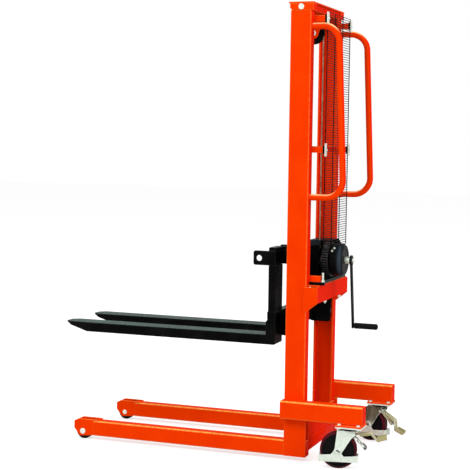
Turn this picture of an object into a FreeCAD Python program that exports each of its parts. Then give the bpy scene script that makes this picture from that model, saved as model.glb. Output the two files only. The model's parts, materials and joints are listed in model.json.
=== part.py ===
import FreeCAD, Part
import math
import os

# Hand-winch pallet stacker. Millimetres: X across the truck, Y from the fork tips to the operator,
# Z up from the floor. While it is drawn, Y is zero on the front face of the mast columns.

# Mast columns: two channels that face each other
column_out = 240.0
column_width = 50.0
column_depth = 93.0
column_web = 6.0
column_flange = 8.0
column_corner = 5.0

# Mast head
overall_height = 2000.0
head_high = 36.0
head_plate_out = 243.0
head_plate_front = -8.0
head_plate_rear = 104.0
head_plate_thick = 7.0
head_block_out = 242.0
head_block_front = -3.0
head_block_rear = 103.0
head_block_bevel = 9.0
head_beam_front = 2.0
head_beam_rear = 94.0
plug_radius = 12.5
plug_y = 48.0
plug_drop = 21.0
plug_depth = 12.0
plug_stand = 1.5

# Sheave, its pin and its hanging cheeks
rope_radius = 3.5
rope_back_y = 78.0
sheave_drop = 80.0
sheave_pitch_radius = 44.0
sheave_radius = 49.0
sheave_width = 16.0
sheave_hub_radius = 18.0
sheave_dish = 4.0
sheave_pin_radius = 10.0
sheave_pin_head = 4.0
sheave_pin_head_radius = 14.0
cheek_gap = 2.0
cheek_thick = 6.0
cheek_round = 25.0
cheek_top_front = 4.0
cheek_top_rear = 92.0

# Brace between the columns
brace_low = 1355.0
brace_height = 26.0
brace_thick = 8.0

# Legs with their front cheeks and rollers
leg_out = 256.0
leg_width = 56.0
leg_low = 20.0
leg_height = 70.0
leg_wall = 5.0
leg_corner = 7.0
leg_front = -925.0
leg_rear = 106.0
leg_cheek_thick = 8.0
leg_cheek_front = -1025.0
leg_cheek_bevel_y = -1003.0
leg_cheek_rear = -903.0
leg_cheek_top = 95.0
leg_cheek_shoulder = 84.0
leg_cheek_nose = 50.0
leg_cheek_foot_y = -996.0
leg_cheek_foot = 15.0
leg_cheek_root = 22.0
front_roller_radius = 38.0
front_roller_y = -980.0
front_roller_side_gap = 1.0
front_roller_edge = 4.0
front_pin_radius = 11.0
front_pin_stand = 3.0

# Base between the legs and columns
base_front = 6.0
cross_plate_thick = 11.0
cross_plate_low = 41.0
cross_plate_high = 190.0

# Rear arms that carry the casters
arm_out = 300.0
arm_low = 192.0
arm_high = 272.0
arm_front = 0.0
arm_rear = 371.0
arm_wall = 4.0
arm_corner = 8.0

# Casters
caster_x = 270.0
caster_y = 314.0
caster_turn_deg = 12.0
caster_plate_half_x = 47.0
caster_plate_half_y = 57.0
caster_plate_thick = 8.0
caster_top_thick = 6.0
caster_bolt_x = 38.0
caster_bolt_y = 42.0
caster_bolt_radius = 5.0
caster_bolt_head = 6.0
caster_bolt_across = 15.0
caster_bolt_tail = 4.0
race_radius = 34.0
race_high = 6.0
race_gap = 0.5
lower_race_radius = 30.0
lower_race_high = 3.5
kingpin_radius = 8.0
kingpin_foot_radius = 13.0
kingpin_foot_high = 6.0
crown_thick = 4.5
wheel_radius = 80.0
wheel_width = 45.0
wheel_core_radius = 67.0
wheel_core_recess = 6.0
wheel_hub_radius = 22.0
wheel_edge = 8.0
wheel_trail = 51.0
wheel_axle_radius = 6.0
wheel_nut_radius = 11.0
wheel_nut_high = 7.0
yoke_gap = 3.5
yoke_thick = 4.0
yoke_front_top = 57.0
yoke_rear_top = -18.0
yoke_ear = -21.0
yoke_ear_z = 150.0
yoke_waist = 66.0
yoke_waist_z = 89.0
yoke_flare = 73.5
yoke_flare_z = 73.0
yoke_foot = 83.5
yoke_foot_z = 63.0
guard_front = 137.0
guard_rear = -35.0
guard_low = 31.0
guard_high = 59.0
yoke_heel = 28.0
yoke_heel_z = 55.0
yoke_leg_rear = 37.0
yoke_leg_rear_z = 68.0
yoke_apex = -3.0
yoke_apex_z = 133.0
pedal_pivot = -8.0
pedal_pivot_z = 147.0
pedal_pin_radius = 3.0
pedal_boss_radius = 6.0
pedal_end = -68.0
pedal_end_z = 88.0
pedal_thick = 6.0
pedal_half_width = 20.0
pedal_side_gap = 1.0
pedal_tread = 26.0
pedal_tread_thick = 11.0
toe_arm = 76.0
toe_rise = 11.0
toe_step = 32.0
toe_fall = 33.0
toe_pad = 40.0
toe_lift = 12.0
toe_thick = 6.0
toe_knuckle_radius = 3.6
toe_half_width = 15.0
toe_drop_right = 0.0
toe_drop_left = 38.0

# Push handles
handle_x = 215.0
handle_tube_radius = 14.0
handle_tube_wall = 2.5
handle_drop = 68.0
handle_length = 736.0
handle_top_y = 216.0
handle_low_y = 249.0
handle_bend = 75.0
handle_splay = 20.0

# Mesh guard behind the mast
guard_y = 150.0
guard_wire = 3.0
guard_half_width = 184.5
guard_bottom = 932.0
guard_drop = 3.0
guard_columns = 3
guard_rows = 99
guard_tab_in = 176.0
guard_tab_out = 200.0
guard_tab_high = 26.0
guard_tab_lower = 1366.0
guard_tab_drop = 34.0
guard_clip_thick = 6.0
guard_clip_high = 34.0
guard_strip_thick = 4.0
guard_strip_high = 56.0
guard_bolt_radius = 5.0
guard_bolt_high = 4.0
guard_bolt_x = 184.5

# Winch bracket on the columns
bracket_rear = 145.0
bracket_thick = 8.0
bracket_low = 700.0
bracket_high = 770.0
gusset_thick = 6.0
gusset_front = 83.0
gusset_foot = 659.0
shelf_thick = 6.0
shelf_out = 225.0
clamp_in = 185.0
clamp_out = 205.0
clamp_rear = 144.5
clamp_high = 26.0
bracket_bolt_x = 113.0
bracket_bolt_across = 14.0
bracket_bolt_high = 12.0
stud_x = 195.0
stud_y = 154.0
stud_radius = 4.5
stud_rise = 41.0
stud_nut_across = 14.0
stud_nut_high = 7.0

# Winch: base, bearing plates, shroud and round cover
winch_base_thick = 14.0
winch_base_half = 205.0
winch_base_front = 96.0
winch_lug_in = 185.0
winch_lug_out = 205.0
winch_lug_rear = 163.0
winch_tongue_half = 104.0
winch_tongue_front = 30.0
winch_plate_thick = 6.0
winch_front_plate = 32.0
winch_mid_plate = 88.0
winch_rear_plate = 105.0
winch_plate_top = 920.0
winch_plate_far = -127.0
winch_plate_near = 27.0
winch_plate_crank_near = 56.0
shroud_sheet = 3.0
shroud_top = 959.0
shroud_shoulder = 22.0
shroud_rear = 88.0
shroud_hood_rear = 147.0
shroud_side_front = 8.0
shroud_side_shoulder = 26.0
shroud_side_bevel = 14.0
shroud_hood_bevel = 16.0
slot_half = 8.0
slot_front = 66.0
slot_rear = 86.0
neck_radius = 42.0
cover_radius = 75.0
cover_thick = 20.0
cover_rear = 206.0
cover_edge = 9.0
barrel_radius = 72.0
barrel_front = 153.0
barrel_bolt_radius = 4.5
barrel_bolt_high = 4.0
barrel_bolt_sink = 2.0
barrel_bolt_places = ((37.0, 161.0), (49.0, 168.0), (131.0, 168.0), (143.0, 161.0))
ring_radius = 78.0
ring_front = 117.0
ring_rear = 147.0
ring_ribs = 42
ring_rib_deep = 3.0

# Drum train
drum_z = 850.0
drum_core_radius = 30.8
drum_flange_radius = 44.0
drum_flange_thick = 3.0
drum_front_gap = 1.5
drum_shaft_radius = 10.0
rope_drum_radius = 34.5
rope_pitch = 7.6
rope_turns = 4
gear_front = 95.5
gear_width = 8.0
gear_pitch_radius = 52.0
gear_teeth = 48
pinion_pitch_radius = 13.0
pinion_teeth = 12
tooth_tip_share = 0.6
tooth_root_share = 1.0
tooth_top_share = 0.24
tooth_foot_share = 0.44
gear_web_recess = 2.0
gear_web_radius = 42.0
gear_hub_radius = 20.0

# Crank
crank_z = 875.0
crank_shaft_radius = 8.0
crank_shaft_front = 90.0
hub_rear = 213.0
hub_radius = 12.0
hub_step_radius = 16.0
hub_step_rear = 230.0
cover_gap = 1.0
boss_radius = 23.0
boss_thick = 9.0
crank_nut_radius = 9.0
crank_nut_high = 8.0
crank_throw = 292.0
crank_lean = 15.0
crank_arm_width = 24.0
crank_arm_thick = 8.0
grip_radius = 13.5
grip_gap = 4.0
grip_length = 101.0
grip_edge = 1.5
grip_pin_radius = 6.0
grip_pin_head_radius = 9.0

# Winch pawl
pawl_z = 934.0
pawl_front = 96.5
pawl_width = 6.0
pawl_pin_radius = 4.0
pawl_boss_radius = 8.0
pawl_reach = 32.0
pawl_drop = 37.0
pawl_thick = 6.0

# Lifting carriage and forks
fork_centre = 143.0
fork_width = 100.0
fork_top = 541.0
fork_low = 497.0
fork_tip = -1111.0
fork_tip_nose = 8.0
fork_taper = 115.0
fork_tip_bevel_x = 26.0
fork_tip_bevel_y = 32.0
heel_front = -108.0
heel_rear = -62.0
heel_high = 609.0
heel_round = 6.0
heel_bevel = 9.0
lower_bar_out = 195.0
lower_bar_front = -101.0
lower_bar_high = 36.0
post_front = -98.0
post_rear = -64.0
upper_bar_low = 851.0
upper_bar_high = 915.0
upper_bar_rear = -66.0
bar_out = 193.0
ear_front = -170.0
ear_thick = 12.0
ear_corner = 9.0
ear_hole_y = -144.0
ear_hole_z = 882.0
ear_hole_radius = 13.5
hook_high = 932.0
hook_edge = 4.0
link_in = 88.0
link_out = 100.0
upper_link_low = 853.0
lower_link_low = 530.0
lower_link_high = 628.0
side_in = 170.0
side_thick = 12.0
side_front = -12.0
side_rear = 84.0
side_low = 565.0
side_high = 895.0
side_corner = 10.0
carriage_roller_radius = 38.0
carriage_roller_in = 194.0
carriage_roller_width = 36.0
carriage_roller_edge = 3.0
roller_lower = 615.0
roller_upper = 848.0
stud_pin_radius = 12.0
stud_pin_end = 232.0
anchor_half = 7.0
anchor_rear = 2.0
ferrule_radius = 7.0
ferrule_high = 22.0

# Fits and shared limits
running_gap = 0.05
clear_gap = 0.3
groove_gap = 0.4
bolt_gap = 0.2
hex_sides = 6
straight_share = 0.01

# Sizes that follow from those above
column_in = column_out - column_width
column_mid_y = column_depth / 2
column_top = overall_height - head_high
leg_in = leg_out - leg_width
leg_mid = leg_out - leg_width / 2
leg_top = leg_low + leg_height
head_plate_low = overall_height - head_plate_thick
plug_z = overall_height - plug_drop
sheave_z = column_top - sheave_drop
handle_top = column_top - handle_drop
handle_low = handle_top - handle_length
guard_top = column_top - guard_drop
guard_tab_upper = column_top - guard_tab_drop
fork_in = fork_centre - fork_width / 2
fork_out = fork_centre + fork_width / 2
sheave_y = rope_back_y - sheave_pitch_radius
rope_front_y = sheave_y - sheave_pitch_radius
lower_bar_top = heel_high + lower_bar_high
anchor_top = lower_bar_top + ferrule_high
drum_x = -rope_drum_radius
gear_distance = gear_pitch_radius + pinion_pitch_radius
crank_x = drum_x + math.sqrt(gear_distance ** 2 - (crank_z - drum_z) ** 2)
pawl_x = drum_x
shelf_high = bracket_high + shelf_thick
winch_base_top = shelf_high + winch_base_thick
winch_plates_rear = winch_rear_plate + winch_plate_thick
caster_plate_low = arm_low - caster_plate_thick
caster_top_low = caster_plate_low - caster_top_thick
race_low = caster_top_low - race_high
crown_high = race_low - race_gap - lower_race_high
crown_low = crown_high - crown_thick
yoke_in = wheel_width / 2 + yoke_gap
yoke_out = yoke_in + yoke_thick
boss_front = hub_step_rear
boss_rear = boss_front + boss_thick
crank_end_y = boss_front + crank_lean
crank_low = crank_z - crank_throw
grip_front = crank_end_y + crank_arm_thick + grip_gap
grip_rear = grip_front + grip_length

axis_x = FreeCAD.Vector(1, 0, 0)
axis_y = FreeCAD.Vector(0, 1, 0)
axis_z = FreeCAD.Vector(0, 0, 1)
origin = FreeCAD.Vector(0, 0, 0)


def point(x, y, z):
    return FreeCAD.Vector(x, y, z)


def block(x0, x1, y0, y1, z0, z1):
    return Part.makeBox(x1 - x0, y1 - y0, z1 - z0, point(x0, y0, z0))


def slab(corners, along, start, end):
    """Solid from an outline that is pushed along one axis from start to end."""
    if along == "x":
        ring = [point(start, a, b) for a, b in corners]
        push = axis_x * (end - start)
    elif along == "y":
        ring = [point(a, start, b) for a, b in corners]
        push = axis_y * (end - start)
    else:
        ring = [point(a, b, start) for a, b in corners]
        push = axis_z * (end - start)
    return Part.Face(Part.makePolygon(ring + ring[:1])).extrude(push)


def rod(radius, base, axis, length):
    return Part.makeCylinder(radius, length, base, axis)


def rod_x(radius, x0, x1, y, z):
    return rod(radius, point(x0, y, z), axis_x, x1 - x0)


def rod_y(radius, x, y0, y1, z):
    return rod(radius, point(x, y0, z), axis_y, y1 - y0)


def rod_z(radius, x, y, z0, z1):
    return rod(radius, point(x, y, z0), axis_z, z1 - z0)


def hex_prism(across, base, axis, length):
    step = 2 * math.pi / hex_sides
    corner = across / (2 * math.cos(step / 2))
    turns = [step * k for k in range(hex_sides)]
    ring = [point(corner * math.cos(t), corner * math.sin(t), 0) for t in turns]
    prism = Part.Face(Part.makePolygon(ring + ring[:1])).extrude(axis_z * length)
    prism.Placement = FreeCAD.Placement(base, FreeCAD.Rotation(axis_z, axis))
    return prism


def turned(profile, base, axis):
    """Solid of revolution from (radius, height) pairs round an axis through base."""
    ring = [point(r, 0, h) for r, h in profile]
    solid = Part.Face(Part.makePolygon(ring + ring[:1])).revolve(origin, axis_z, 360)
    solid.Placement = FreeCAD.Placement(base, FreeCAD.Rotation(axis_z, axis))
    return solid


def edges_along(shape, axis):
    found = []
    for edge in shape.Edges:
        if isinstance(edge.Curve, Part.Line):
            if edge.Curve.Direction.cross(axis).Length < straight_share:
                found.append(edge)
    return found


def rounded(shape, radius, axis):
    return shape.makeFillet(radius, edges_along(shape, axis))


def mirrored(shape):
    return shape.mirror(origin, axis_x)


def pair(shape):
    return [shape, mirrored(shape)]


def group(shapes):
    return Part.makeCompound(shapes)


def toothed(radius, teeth, first_turn, x, z, y0, y1):
    """Spur wheel with plain sloping teeth round an axis along Y."""
    module = 2 * radius / teeth
    tip = radius + tooth_tip_share * module
    root = radius - tooth_root_share * module
    step = 2 * math.pi / teeth
    foot = step * tooth_foot_share / 2
    top = step * tooth_top_share / 2
    ring = []
    for k in range(teeth):
        middle = first_turn + k * step
        for reach, turn in [(root, -foot), (tip, -top), (tip, top), (root, foot)]:
            a = middle + turn
            ring.append((x + reach * math.cos(a), z + reach * math.sin(a)))
    return slab(ring, "y", y0, y1)


def arc_from(start, heading, end):
    """Circular arc that leaves start along heading and ends at end."""
    chord = end - start
    share = heading.dot(chord) / chord.Length
    reach = chord.Length / (2 * share)
    corner = start + heading * reach
    middle = (start + end) * (1 / 2)
    crest = (middle + corner * share) * (1 / (1 + share))
    return Part.Arc(start, crest, end).toShape()


def biarc(p0, t0, p1, t1):
    v = p1 - p0
    a = 2 * (1 - t0.dot(t1))
    b = 2 * v.dot(t0 + t1)
    c = v.dot(v)
    d = (math.sqrt(b * b + 4 * a * c) - b) / (2 * a)
    joint = (p0 + p1 + (t0 - t1) * d) * (1 / 2)
    heading = (p1 - t1 * d) - (p0 + t0 * d)
    heading.normalize()
    return [arc_from(p0, t0, joint), arc_from(joint, heading, p1)]


def swept(edges, radius):
    wire = Part.Wire(edges)
    first = edges[0]
    start = first.valueAt(first.FirstParameter)
    heading = first.tangentAt(first.FirstParameter)
    ring = Part.Wire([Part.makeCircle(radius, start, heading)])
    return wire.makePipeShell([ring], True, False)


def bent_tube(corners, bend, radius):
    """Round bar along a run of corner points, each bend a circular arc."""
    edges = []
    here = corners[0]
    for before, corner, after in zip(corners, corners[1:], corners[2:]):
        inward = (before - corner).normalize()
        outward = (after - corner).normalize()
        half = math.acos(inward.dot(outward)) / 2
        reach = bend / math.tan(half)
        start = corner + inward * reach
        end = corner + outward * reach
        edges.append(Part.makeLine(here, start))
        edges.append(arc_from(start, inward * -1, end))
        here = end
    edges.append(Part.makeLine(here, corners[-1]))
    return swept(edges, radius)


def column():
    outer = block(column_in, column_out, 0, column_depth, leg_top, column_top)
    back = [e for e in edges_along(outer, axis_z) if abs(e.Vertexes[0].X - column_out) < running_gap]
    outer = outer.makeFillet(column_corner, back)
    web_in = column_out - column_web
    hollow = block(column_in, web_in, column_flange, column_depth - column_flange, leg_top, column_top)
    return outer.cut(hollow)


def mast_head():
    plate = block(-head_plate_out, head_plate_out, head_plate_front, head_plate_rear,
                  head_plate_low, overall_height)
    low = column_top
    end = [(head_block_front + head_block_bevel, low), (head_block_rear, low),
           (head_block_rear, head_plate_low), (head_block_front, head_plate_low),
           (head_block_front, low + head_block_bevel)]
    cap = slab(end, "x", column_in, head_block_out)
    cap = cap.cut(rod_x(plug_radius, head_block_out - plug_depth, head_block_out, plug_y, plug_z))
    beam = block(-column_in, column_in, head_beam_front, head_beam_rear, column_top, head_plate_low)
    return group([plate, beam] + pair(cap))


def sheave():
    half = sheave_width / 2
    groove_root = sheave_pitch_radius - rope_radius - groove_gap
    hub = sheave_hub_radius
    dish = half - sheave_dish
    rim = groove_root - sheave_dish
    bore = sheave_pin_radius + running_gap
    profile = [(bore, -half), (hub, -half), (hub, -dish), (rim, -dish), (rim, -half), (sheave_radius, -half),
               (sheave_radius, half), (rim, half), (rim, dish), (hub, dish), (hub, half), (bore, half)]
    wheel = turned(profile, point(0, sheave_y, sheave_z), axis_x)
    mouth_half = rope_radius + groove_gap
    groove = Part.makeTorus(sheave_pitch_radius, mouth_half, point(0, sheave_y, sheave_z), axis_x)
    mouth = rod_x(sheave_radius + mouth_half, -mouth_half, mouth_half, sheave_y, sheave_z)
    mouth = mouth.cut(rod_x(sheave_pitch_radius, -mouth_half, mouth_half, sheave_y, sheave_z))
    return wheel.cut(groove).cut(mouth)


def sheave_cheek():
    x0 = sheave_width / 2 + cheek_gap
    x1 = x0 + cheek_thick
    left = sheave_y - cheek_round
    right = sheave_y + cheek_round
    body = slab([(cheek_top_front, column_top), (cheek_top_rear, column_top), (right, sheave_z),
                 (left, sheave_z)], "x", x0, x1)
    body = body.fuse(rod_x(cheek_round, x0, x1, sheave_y, sheave_z)).removeSplitter()
    return body.cut(rod_x(sheave_pin_radius, x0, x1, sheave_y, sheave_z))


def sheave_pin():
    end = sheave_width / 2 + cheek_gap + cheek_thick
    pin = rod_x(sheave_pin_radius, -end, end, sheave_y, sheave_z)
    for side in (-end - sheave_pin_head, end):
        pin = pin.fuse(rod_x(sheave_pin_head_radius, side, side + sheave_pin_head, sheave_y, sheave_z))
    return pin


def leg():
    outer = rounded(block(leg_in, leg_out, leg_front, leg_rear, leg_low, leg_top), leg_corner, axis_y)
    inner = block(leg_in + leg_wall, leg_out - leg_wall, leg_front, leg_rear - leg_wall,
                  leg_low + leg_wall, leg_top - leg_wall)
    return outer.cut(inner).cut(base_block())


def base_block():
    """Side plate that joins the leg, the column foot and the arm in one outer face."""
    return block(column_out, leg_out, base_front, leg_rear, leg_low, arm_low)


def leg_cheeks():
    outline = [(leg_cheek_front, leg_cheek_nose), (leg_cheek_front, leg_cheek_shoulder),
               (leg_cheek_bevel_y, leg_cheek_top), (leg_cheek_rear, leg_cheek_top), (leg_cheek_rear, leg_top),
               (leg_front, leg_top), (leg_front, leg_cheek_root), (leg_cheek_foot_y, leg_cheek_foot)]
    plates = []
    for x0 in (leg_in, leg_out - leg_cheek_thick):
        plate = slab(outline, "x", x0, x0 + leg_cheek_thick)
        hole = rod_x(front_pin_radius, x0, x0 + leg_cheek_thick, front_roller_y, front_roller_radius)
        plates.append(plate.cut(hole))
    return plates


def front_pin():
    return rod_x(front_pin_radius, leg_in - front_pin_stand, leg_out + front_pin_stand,
                 front_roller_y, front_roller_radius)


def front_roller():
    half = leg_width / 2 - leg_cheek_thick - front_roller_side_gap
    r = front_roller_radius
    edge = front_roller_edge
    bore = front_pin_radius + running_gap
    profile = [(bore, -half), (r - edge, -half), (r, edge - half), (r, half - edge), (r - edge, half),
               (bore, half)]
    return turned(profile, point(leg_mid, front_roller_y, front_roller_radius), axis_x)


def arm():
    outer = rounded(block(column_out, arm_out, arm_front, arm_rear, arm_low, arm_high), arm_corner, axis_y)
    inner = block(column_out + arm_wall, arm_out - arm_wall, arm_front + arm_wall, arm_rear - arm_wall,
                  arm_low + arm_wall, arm_high - arm_wall)
    return outer.cut(inner)


def caster_footprint(z0, z1):
    plate = block(caster_x - caster_plate_half_x, caster_x + caster_plate_half_x,
                  caster_y - caster_plate_half_y, caster_y + caster_plate_half_y, z0, z1)
    for x, y in caster_bolt_places():
        plate = plate.cut(rod_z(caster_bolt_radius + bolt_gap, x, y, z0, z1))
    return plate


def caster_bolt_places():
    signs = [(-1, -1), (-1, 1), (1, -1), (1, 1)]
    return [(caster_x + sx * caster_bolt_x, caster_y + sy * caster_bolt_y) for sx, sy in signs]


def caster_bolts():
    bolts = []
    for x, y in caster_bolt_places():
        shank = rod_z(caster_bolt_radius, x, y, caster_top_low - caster_bolt_tail, arm_low)
        head = hex_prism(caster_bolt_across, point(x, y, arm_low), axis_z, caster_bolt_head)
        bolts.append(shank.fuse(head))
    return bolts


def caster_top():
    plate = caster_footprint(caster_top_low, caster_plate_low)
    race = rod_z(race_radius, caster_x, caster_y, race_low, caster_top_low)
    foot_low = crown_low - race_gap - kingpin_foot_high
    pin = rod_z(kingpin_radius, caster_x, caster_y, foot_low, race_low)
    foot = rod_z(kingpin_foot_radius, caster_x, caster_y, foot_low, foot_low + kingpin_foot_high)
    return plate.fuse([race, pin, foot]).removeSplitter()


def caster_local(shape):
    """Set a caster piece, drawn with its trail along -Y from the swivel axis, in its place."""
    shape.rotate(origin, axis_z, caster_turn_deg)
    shape.translate(point(caster_x, caster_y, 0))
    return shape


def yoke_side():
    outline = [(-yoke_front_top, crown_high), (-yoke_waist, yoke_waist_z), (-yoke_flare, yoke_flare_z),
               (-yoke_foot, yoke_foot_z), (-guard_front, guard_high), (-guard_front, guard_low),
               (-guard_rear, guard_low), (-guard_rear, guard_high), (-yoke_heel, yoke_heel_z),
               (-yoke_leg_rear, yoke_leg_rear_z), (-yoke_apex, yoke_apex_z), (-yoke_ear, yoke_ear_z),
               (-yoke_rear_top, crown_high)]
    return slab(outline, "x", yoke_in, yoke_out)


def caster_yoke():
    side = yoke_side()
    crown = block(-yoke_in, yoke_in, -yoke_front_top, -yoke_rear_top, crown_low, crown_high)
    race = rod_z(lower_race_radius, 0, 0, crown_high, crown_high + lower_race_high)
    back = block(-yoke_in, yoke_in, -guard_rear - yoke_thick, -guard_rear, guard_low, guard_high)
    axle = rod_x(wheel_axle_radius, -yoke_out, yoke_out, -wheel_trail, wheel_radius)
    nut_seat = point(yoke_out, -wheel_trail, wheel_radius)
    nut = hex_prism(2 * wheel_nut_radius, nut_seat, axis_x, wheel_nut_high)
    yoke = side.fuse([mirrored(side), crown, race, back, axle] + pair(nut)).removeSplitter()
    yoke = yoke.cut(rod_z(kingpin_radius + running_gap, 0, 0, crown_low, crown_high + lower_race_high))
    pin_hole = rod_x(pedal_pin_radius + running_gap, -yoke_out, yoke_out, -pedal_pivot, pedal_pivot_z)
    return caster_local(yoke.cut(pin_hole))


def caster_tyre():
    half = wheel_width / 2
    r = wheel_radius
    edge = wheel_edge
    core = wheel_core_radius
    profile = [(core, -half), (r - edge, -half), (r, edge - half), (r, half - edge), (r - edge, half),
               (core, half)]
    return caster_local(turned(profile, point(0, -wheel_trail, wheel_radius), axis_x))


def caster_core():
    half = wheel_width / 2
    core = wheel_core_radius
    face = half - wheel_core_recess
    bore = wheel_axle_radius + running_gap
    hub = wheel_hub_radius
    profile = [(bore, -half), (hub, -half), (hub, -face), (core, -face), (core, face), (hub, face),
               (hub, half), (bore, half)]
    return caster_local(turned(profile, point(0, -wheel_trail, wheel_radius), axis_x))


def toe_strip(drop):
    low = toe_rise - toe_fall
    places = [(0, 0), (toe_arm, toe_rise), (toe_arm + toe_step, low),
              (toe_arm + toe_step + toe_pad, low + toe_lift)]
    pieces = []
    for (y0, z0), (y1, z1) in zip(places, places[1:]):
        run = math.hypot(y1 - y0, z1 - z0)
        bar = block(-toe_half_width, toe_half_width, 0, run, -toe_thick / 2, toe_thick / 2)
        bar.rotate(origin, axis_x, math.degrees(math.atan2(z1 - z0, y1 - y0)))
        bar.translate(point(0, y0, z0))
        pieces.append(bar)
    for y, z in places[1:3]:
        pieces.append(rod_x(toe_knuckle_radius, -toe_half_width, toe_half_width, y, z))
    strip = pieces[0].fuse(pieces[1:]).removeSplitter()
    strip.rotate(origin, axis_x, -drop)
    strip.translate(point(0, -pedal_pivot, pedal_pivot_z))
    return strip


def brake_pedal(drop):
    reach = yoke_in - pedal_side_gap
    run_y = pedal_pivot - pedal_end
    run_z = pedal_pivot_z - pedal_end_z
    length = math.hypot(run_y, run_z)
    bar = block(-pedal_half_width, pedal_half_width, 0, length, -pedal_thick / 2, pedal_thick / 2)
    tread = block(-pedal_half_width, pedal_half_width, length - pedal_tread, length,
                  -pedal_tread_thick / 2, pedal_tread_thick / 2)
    lever = bar.fuse(tread).removeSplitter()
    lever.rotate(origin, axis_x, -math.degrees(math.atan2(run_z, run_y)))
    lever.translate(point(0, -pedal_pivot, pedal_pivot_z))
    boss = rod_x(pedal_boss_radius, -reach, reach, -pedal_pivot, pedal_pivot_z)
    pin = rod_x(pedal_pin_radius, -yoke_out, yoke_out, -pedal_pivot, pedal_pivot_z)
    return caster_local(lever.fuse([boss, pin, toe_strip(drop)]).removeSplitter())


def handle():
    grip_x = handle_x + handle_splay
    root = column_depth - column_flange
    corners = [point(handle_x, root, handle_top), point(grip_x, handle_top_y, handle_top),
               point(grip_x, handle_low_y, handle_low), point(handle_x, root, handle_low)]
    outer = bent_tube(corners, handle_bend, handle_tube_radius)
    tube = outer.cut(bent_tube(corners, handle_bend, handle_tube_radius - handle_tube_wall))
    return tube.cut(block(column_in, column_out, 0, column_depth, leg_top, column_top))


def guard_mesh():
    y0 = guard_y - guard_wire / 2
    ring = [point(-guard_half_width, y0, guard_bottom), point(guard_half_width, y0, guard_bottom),
            point(guard_half_width, y0, guard_top), point(-guard_half_width, y0, guard_top)]
    wires = [Part.makePolygon(ring + ring[:1])]
    step_x = (2 * guard_half_width - guard_wire) / guard_columns
    step_z = (guard_top - guard_bottom - guard_wire) / guard_rows
    for i in range(guard_columns):
        for k in range(guard_rows):
            x0 = guard_wire - guard_half_width + i * step_x
            z0 = guard_bottom + guard_wire + k * step_z
            x1 = x0 + step_x - guard_wire
            z1 = z0 + step_z - guard_wire
            gap = [point(x0, y0, z0), point(x1, y0, z0), point(x1, y0, z1), point(x0, y0, z1)]
            wires.append(Part.makePolygon(gap + gap[:1]))
    sheet = Part.makeFace(wires, "Part::FaceMakerBullseye")
    return sheet.extrude(axis_y * guard_wire)


def guard_fixings():
    """Red tabs on the columns, dark clips on their ends, bright strips and bolts behind the outer wire."""
    tabs, clips, strips, bolts = [], [], [], []
    clip_rear = guard_y - guard_wire / 2
    clip_front = clip_rear - guard_clip_thick
    for level in (guard_tab_lower, guard_tab_upper):
        low = level - guard_tab_high / 2
        tabs += pair(block(guard_tab_in, guard_tab_out, column_depth, clip_front, low, low + guard_tab_high))
        base = level - guard_clip_high / 2
        clips += pair(block(guard_tab_in, guard_tab_out, clip_front, clip_rear, base, base + guard_clip_high))
        rear = guard_y + guard_wire / 2
        strip_rear = rear + guard_strip_thick
        strip_low = level - guard_strip_high / 2
        strip_high = strip_low + guard_strip_high
        strips += pair(block(guard_tab_in, guard_tab_out, rear, strip_rear, strip_low, strip_high))
        bolts += pair(rod_y(guard_bolt_radius, guard_bolt_x, strip_rear, strip_rear + guard_bolt_high, level))
    return group(tabs), group(clips), group(strips), bolts


def winch_bracket():
    inner = bracket_rear - bracket_thick
    plate = block(-column_out, column_out, inner, bracket_rear, bracket_low, bracket_high)
    gusset = slab([(gusset_front, gusset_foot), (column_depth, gusset_foot), (bracket_rear, bracket_low),
                   (bracket_rear, bracket_high), (gusset_front, bracket_high)],
                  "x", column_out, column_out + gusset_thick)
    shelf = block(-shelf_out, shelf_out, column_depth, bracket_rear, bracket_high, shelf_high)
    clamp_top = winch_base_top + clamp_high
    clamp = block(clamp_in, clamp_out, column_depth, clamp_rear, winch_base_top, clamp_top)
    return group([plate, shelf] + pair(gusset) + pair(clamp))


def winch_stud():
    stud = rod_z(stud_radius, stud_x, stud_y, shelf_high, winch_base_top + stud_rise)
    seat = point(stud_x, stud_y, winch_base_top)
    return stud.fuse(hex_prism(stud_nut_across, seat, axis_z, stud_nut_high))


def bracket_bolts():
    foot = point(bracket_bolt_x, bracket_rear - bracket_thick / 2, bracket_low - bracket_bolt_high)
    return pair(hex_prism(bracket_bolt_across, foot, axis_z, bracket_bolt_high))


def winch_base():
    low = shelf_high
    top = winch_base_top
    rear = block(-winch_base_half, winch_base_half, winch_base_front, bracket_rear, low, top)
    tongue = block(-winch_tongue_half, winch_tongue_half, winch_tongue_front, winch_base_front, low, top)
    lug = block(winch_lug_in, winch_lug_out, bracket_rear, winch_lug_rear, low, top)
    lug = lug.cut(rod_z(stud_radius + bolt_gap, stud_x, stud_y, low, top))
    return rear.fuse([tongue, lug]).removeSplitter()


def winch_plates():
    plates = []
    places = [(winch_front_plate, winch_plate_near, False), (winch_mid_plate, winch_plate_crank_near, True),
              (winch_rear_plate, winch_plate_crank_near, True)]
    for y, near, has_crank in places:
        y1 = y + winch_plate_thick
        plate = block(winch_plate_far, near, y, y1, winch_base_top, winch_plate_top)
        plate = plate.cut(rod_y(drum_shaft_radius + running_gap, drum_x, y, y1, drum_z))
        if has_crank:
            plate = plate.cut(rod_y(crank_shaft_radius + running_gap, crank_x, y, y1, crank_z))
        plates.append(plate)
    pin_front = winch_mid_plate + winch_plate_thick
    plates.append(rod_y(pawl_pin_radius, pawl_x, pin_front, winch_rear_plate, pawl_z))
    tie_top = pawl_z + pawl_boss_radius
    for y in (winch_mid_plate, winch_rear_plate):
        plates.append(block(pawl_x - pawl_boss_radius, pawl_x + pawl_boss_radius, y, y + winch_plate_thick,
                            winch_plate_top, tie_top))
    return group([plates[0], plates[1].fuse([plates[4]]).removeSplitter(),
                  plates[2].fuse([plates[5], plates[3]]).removeSplitter()])


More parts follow.
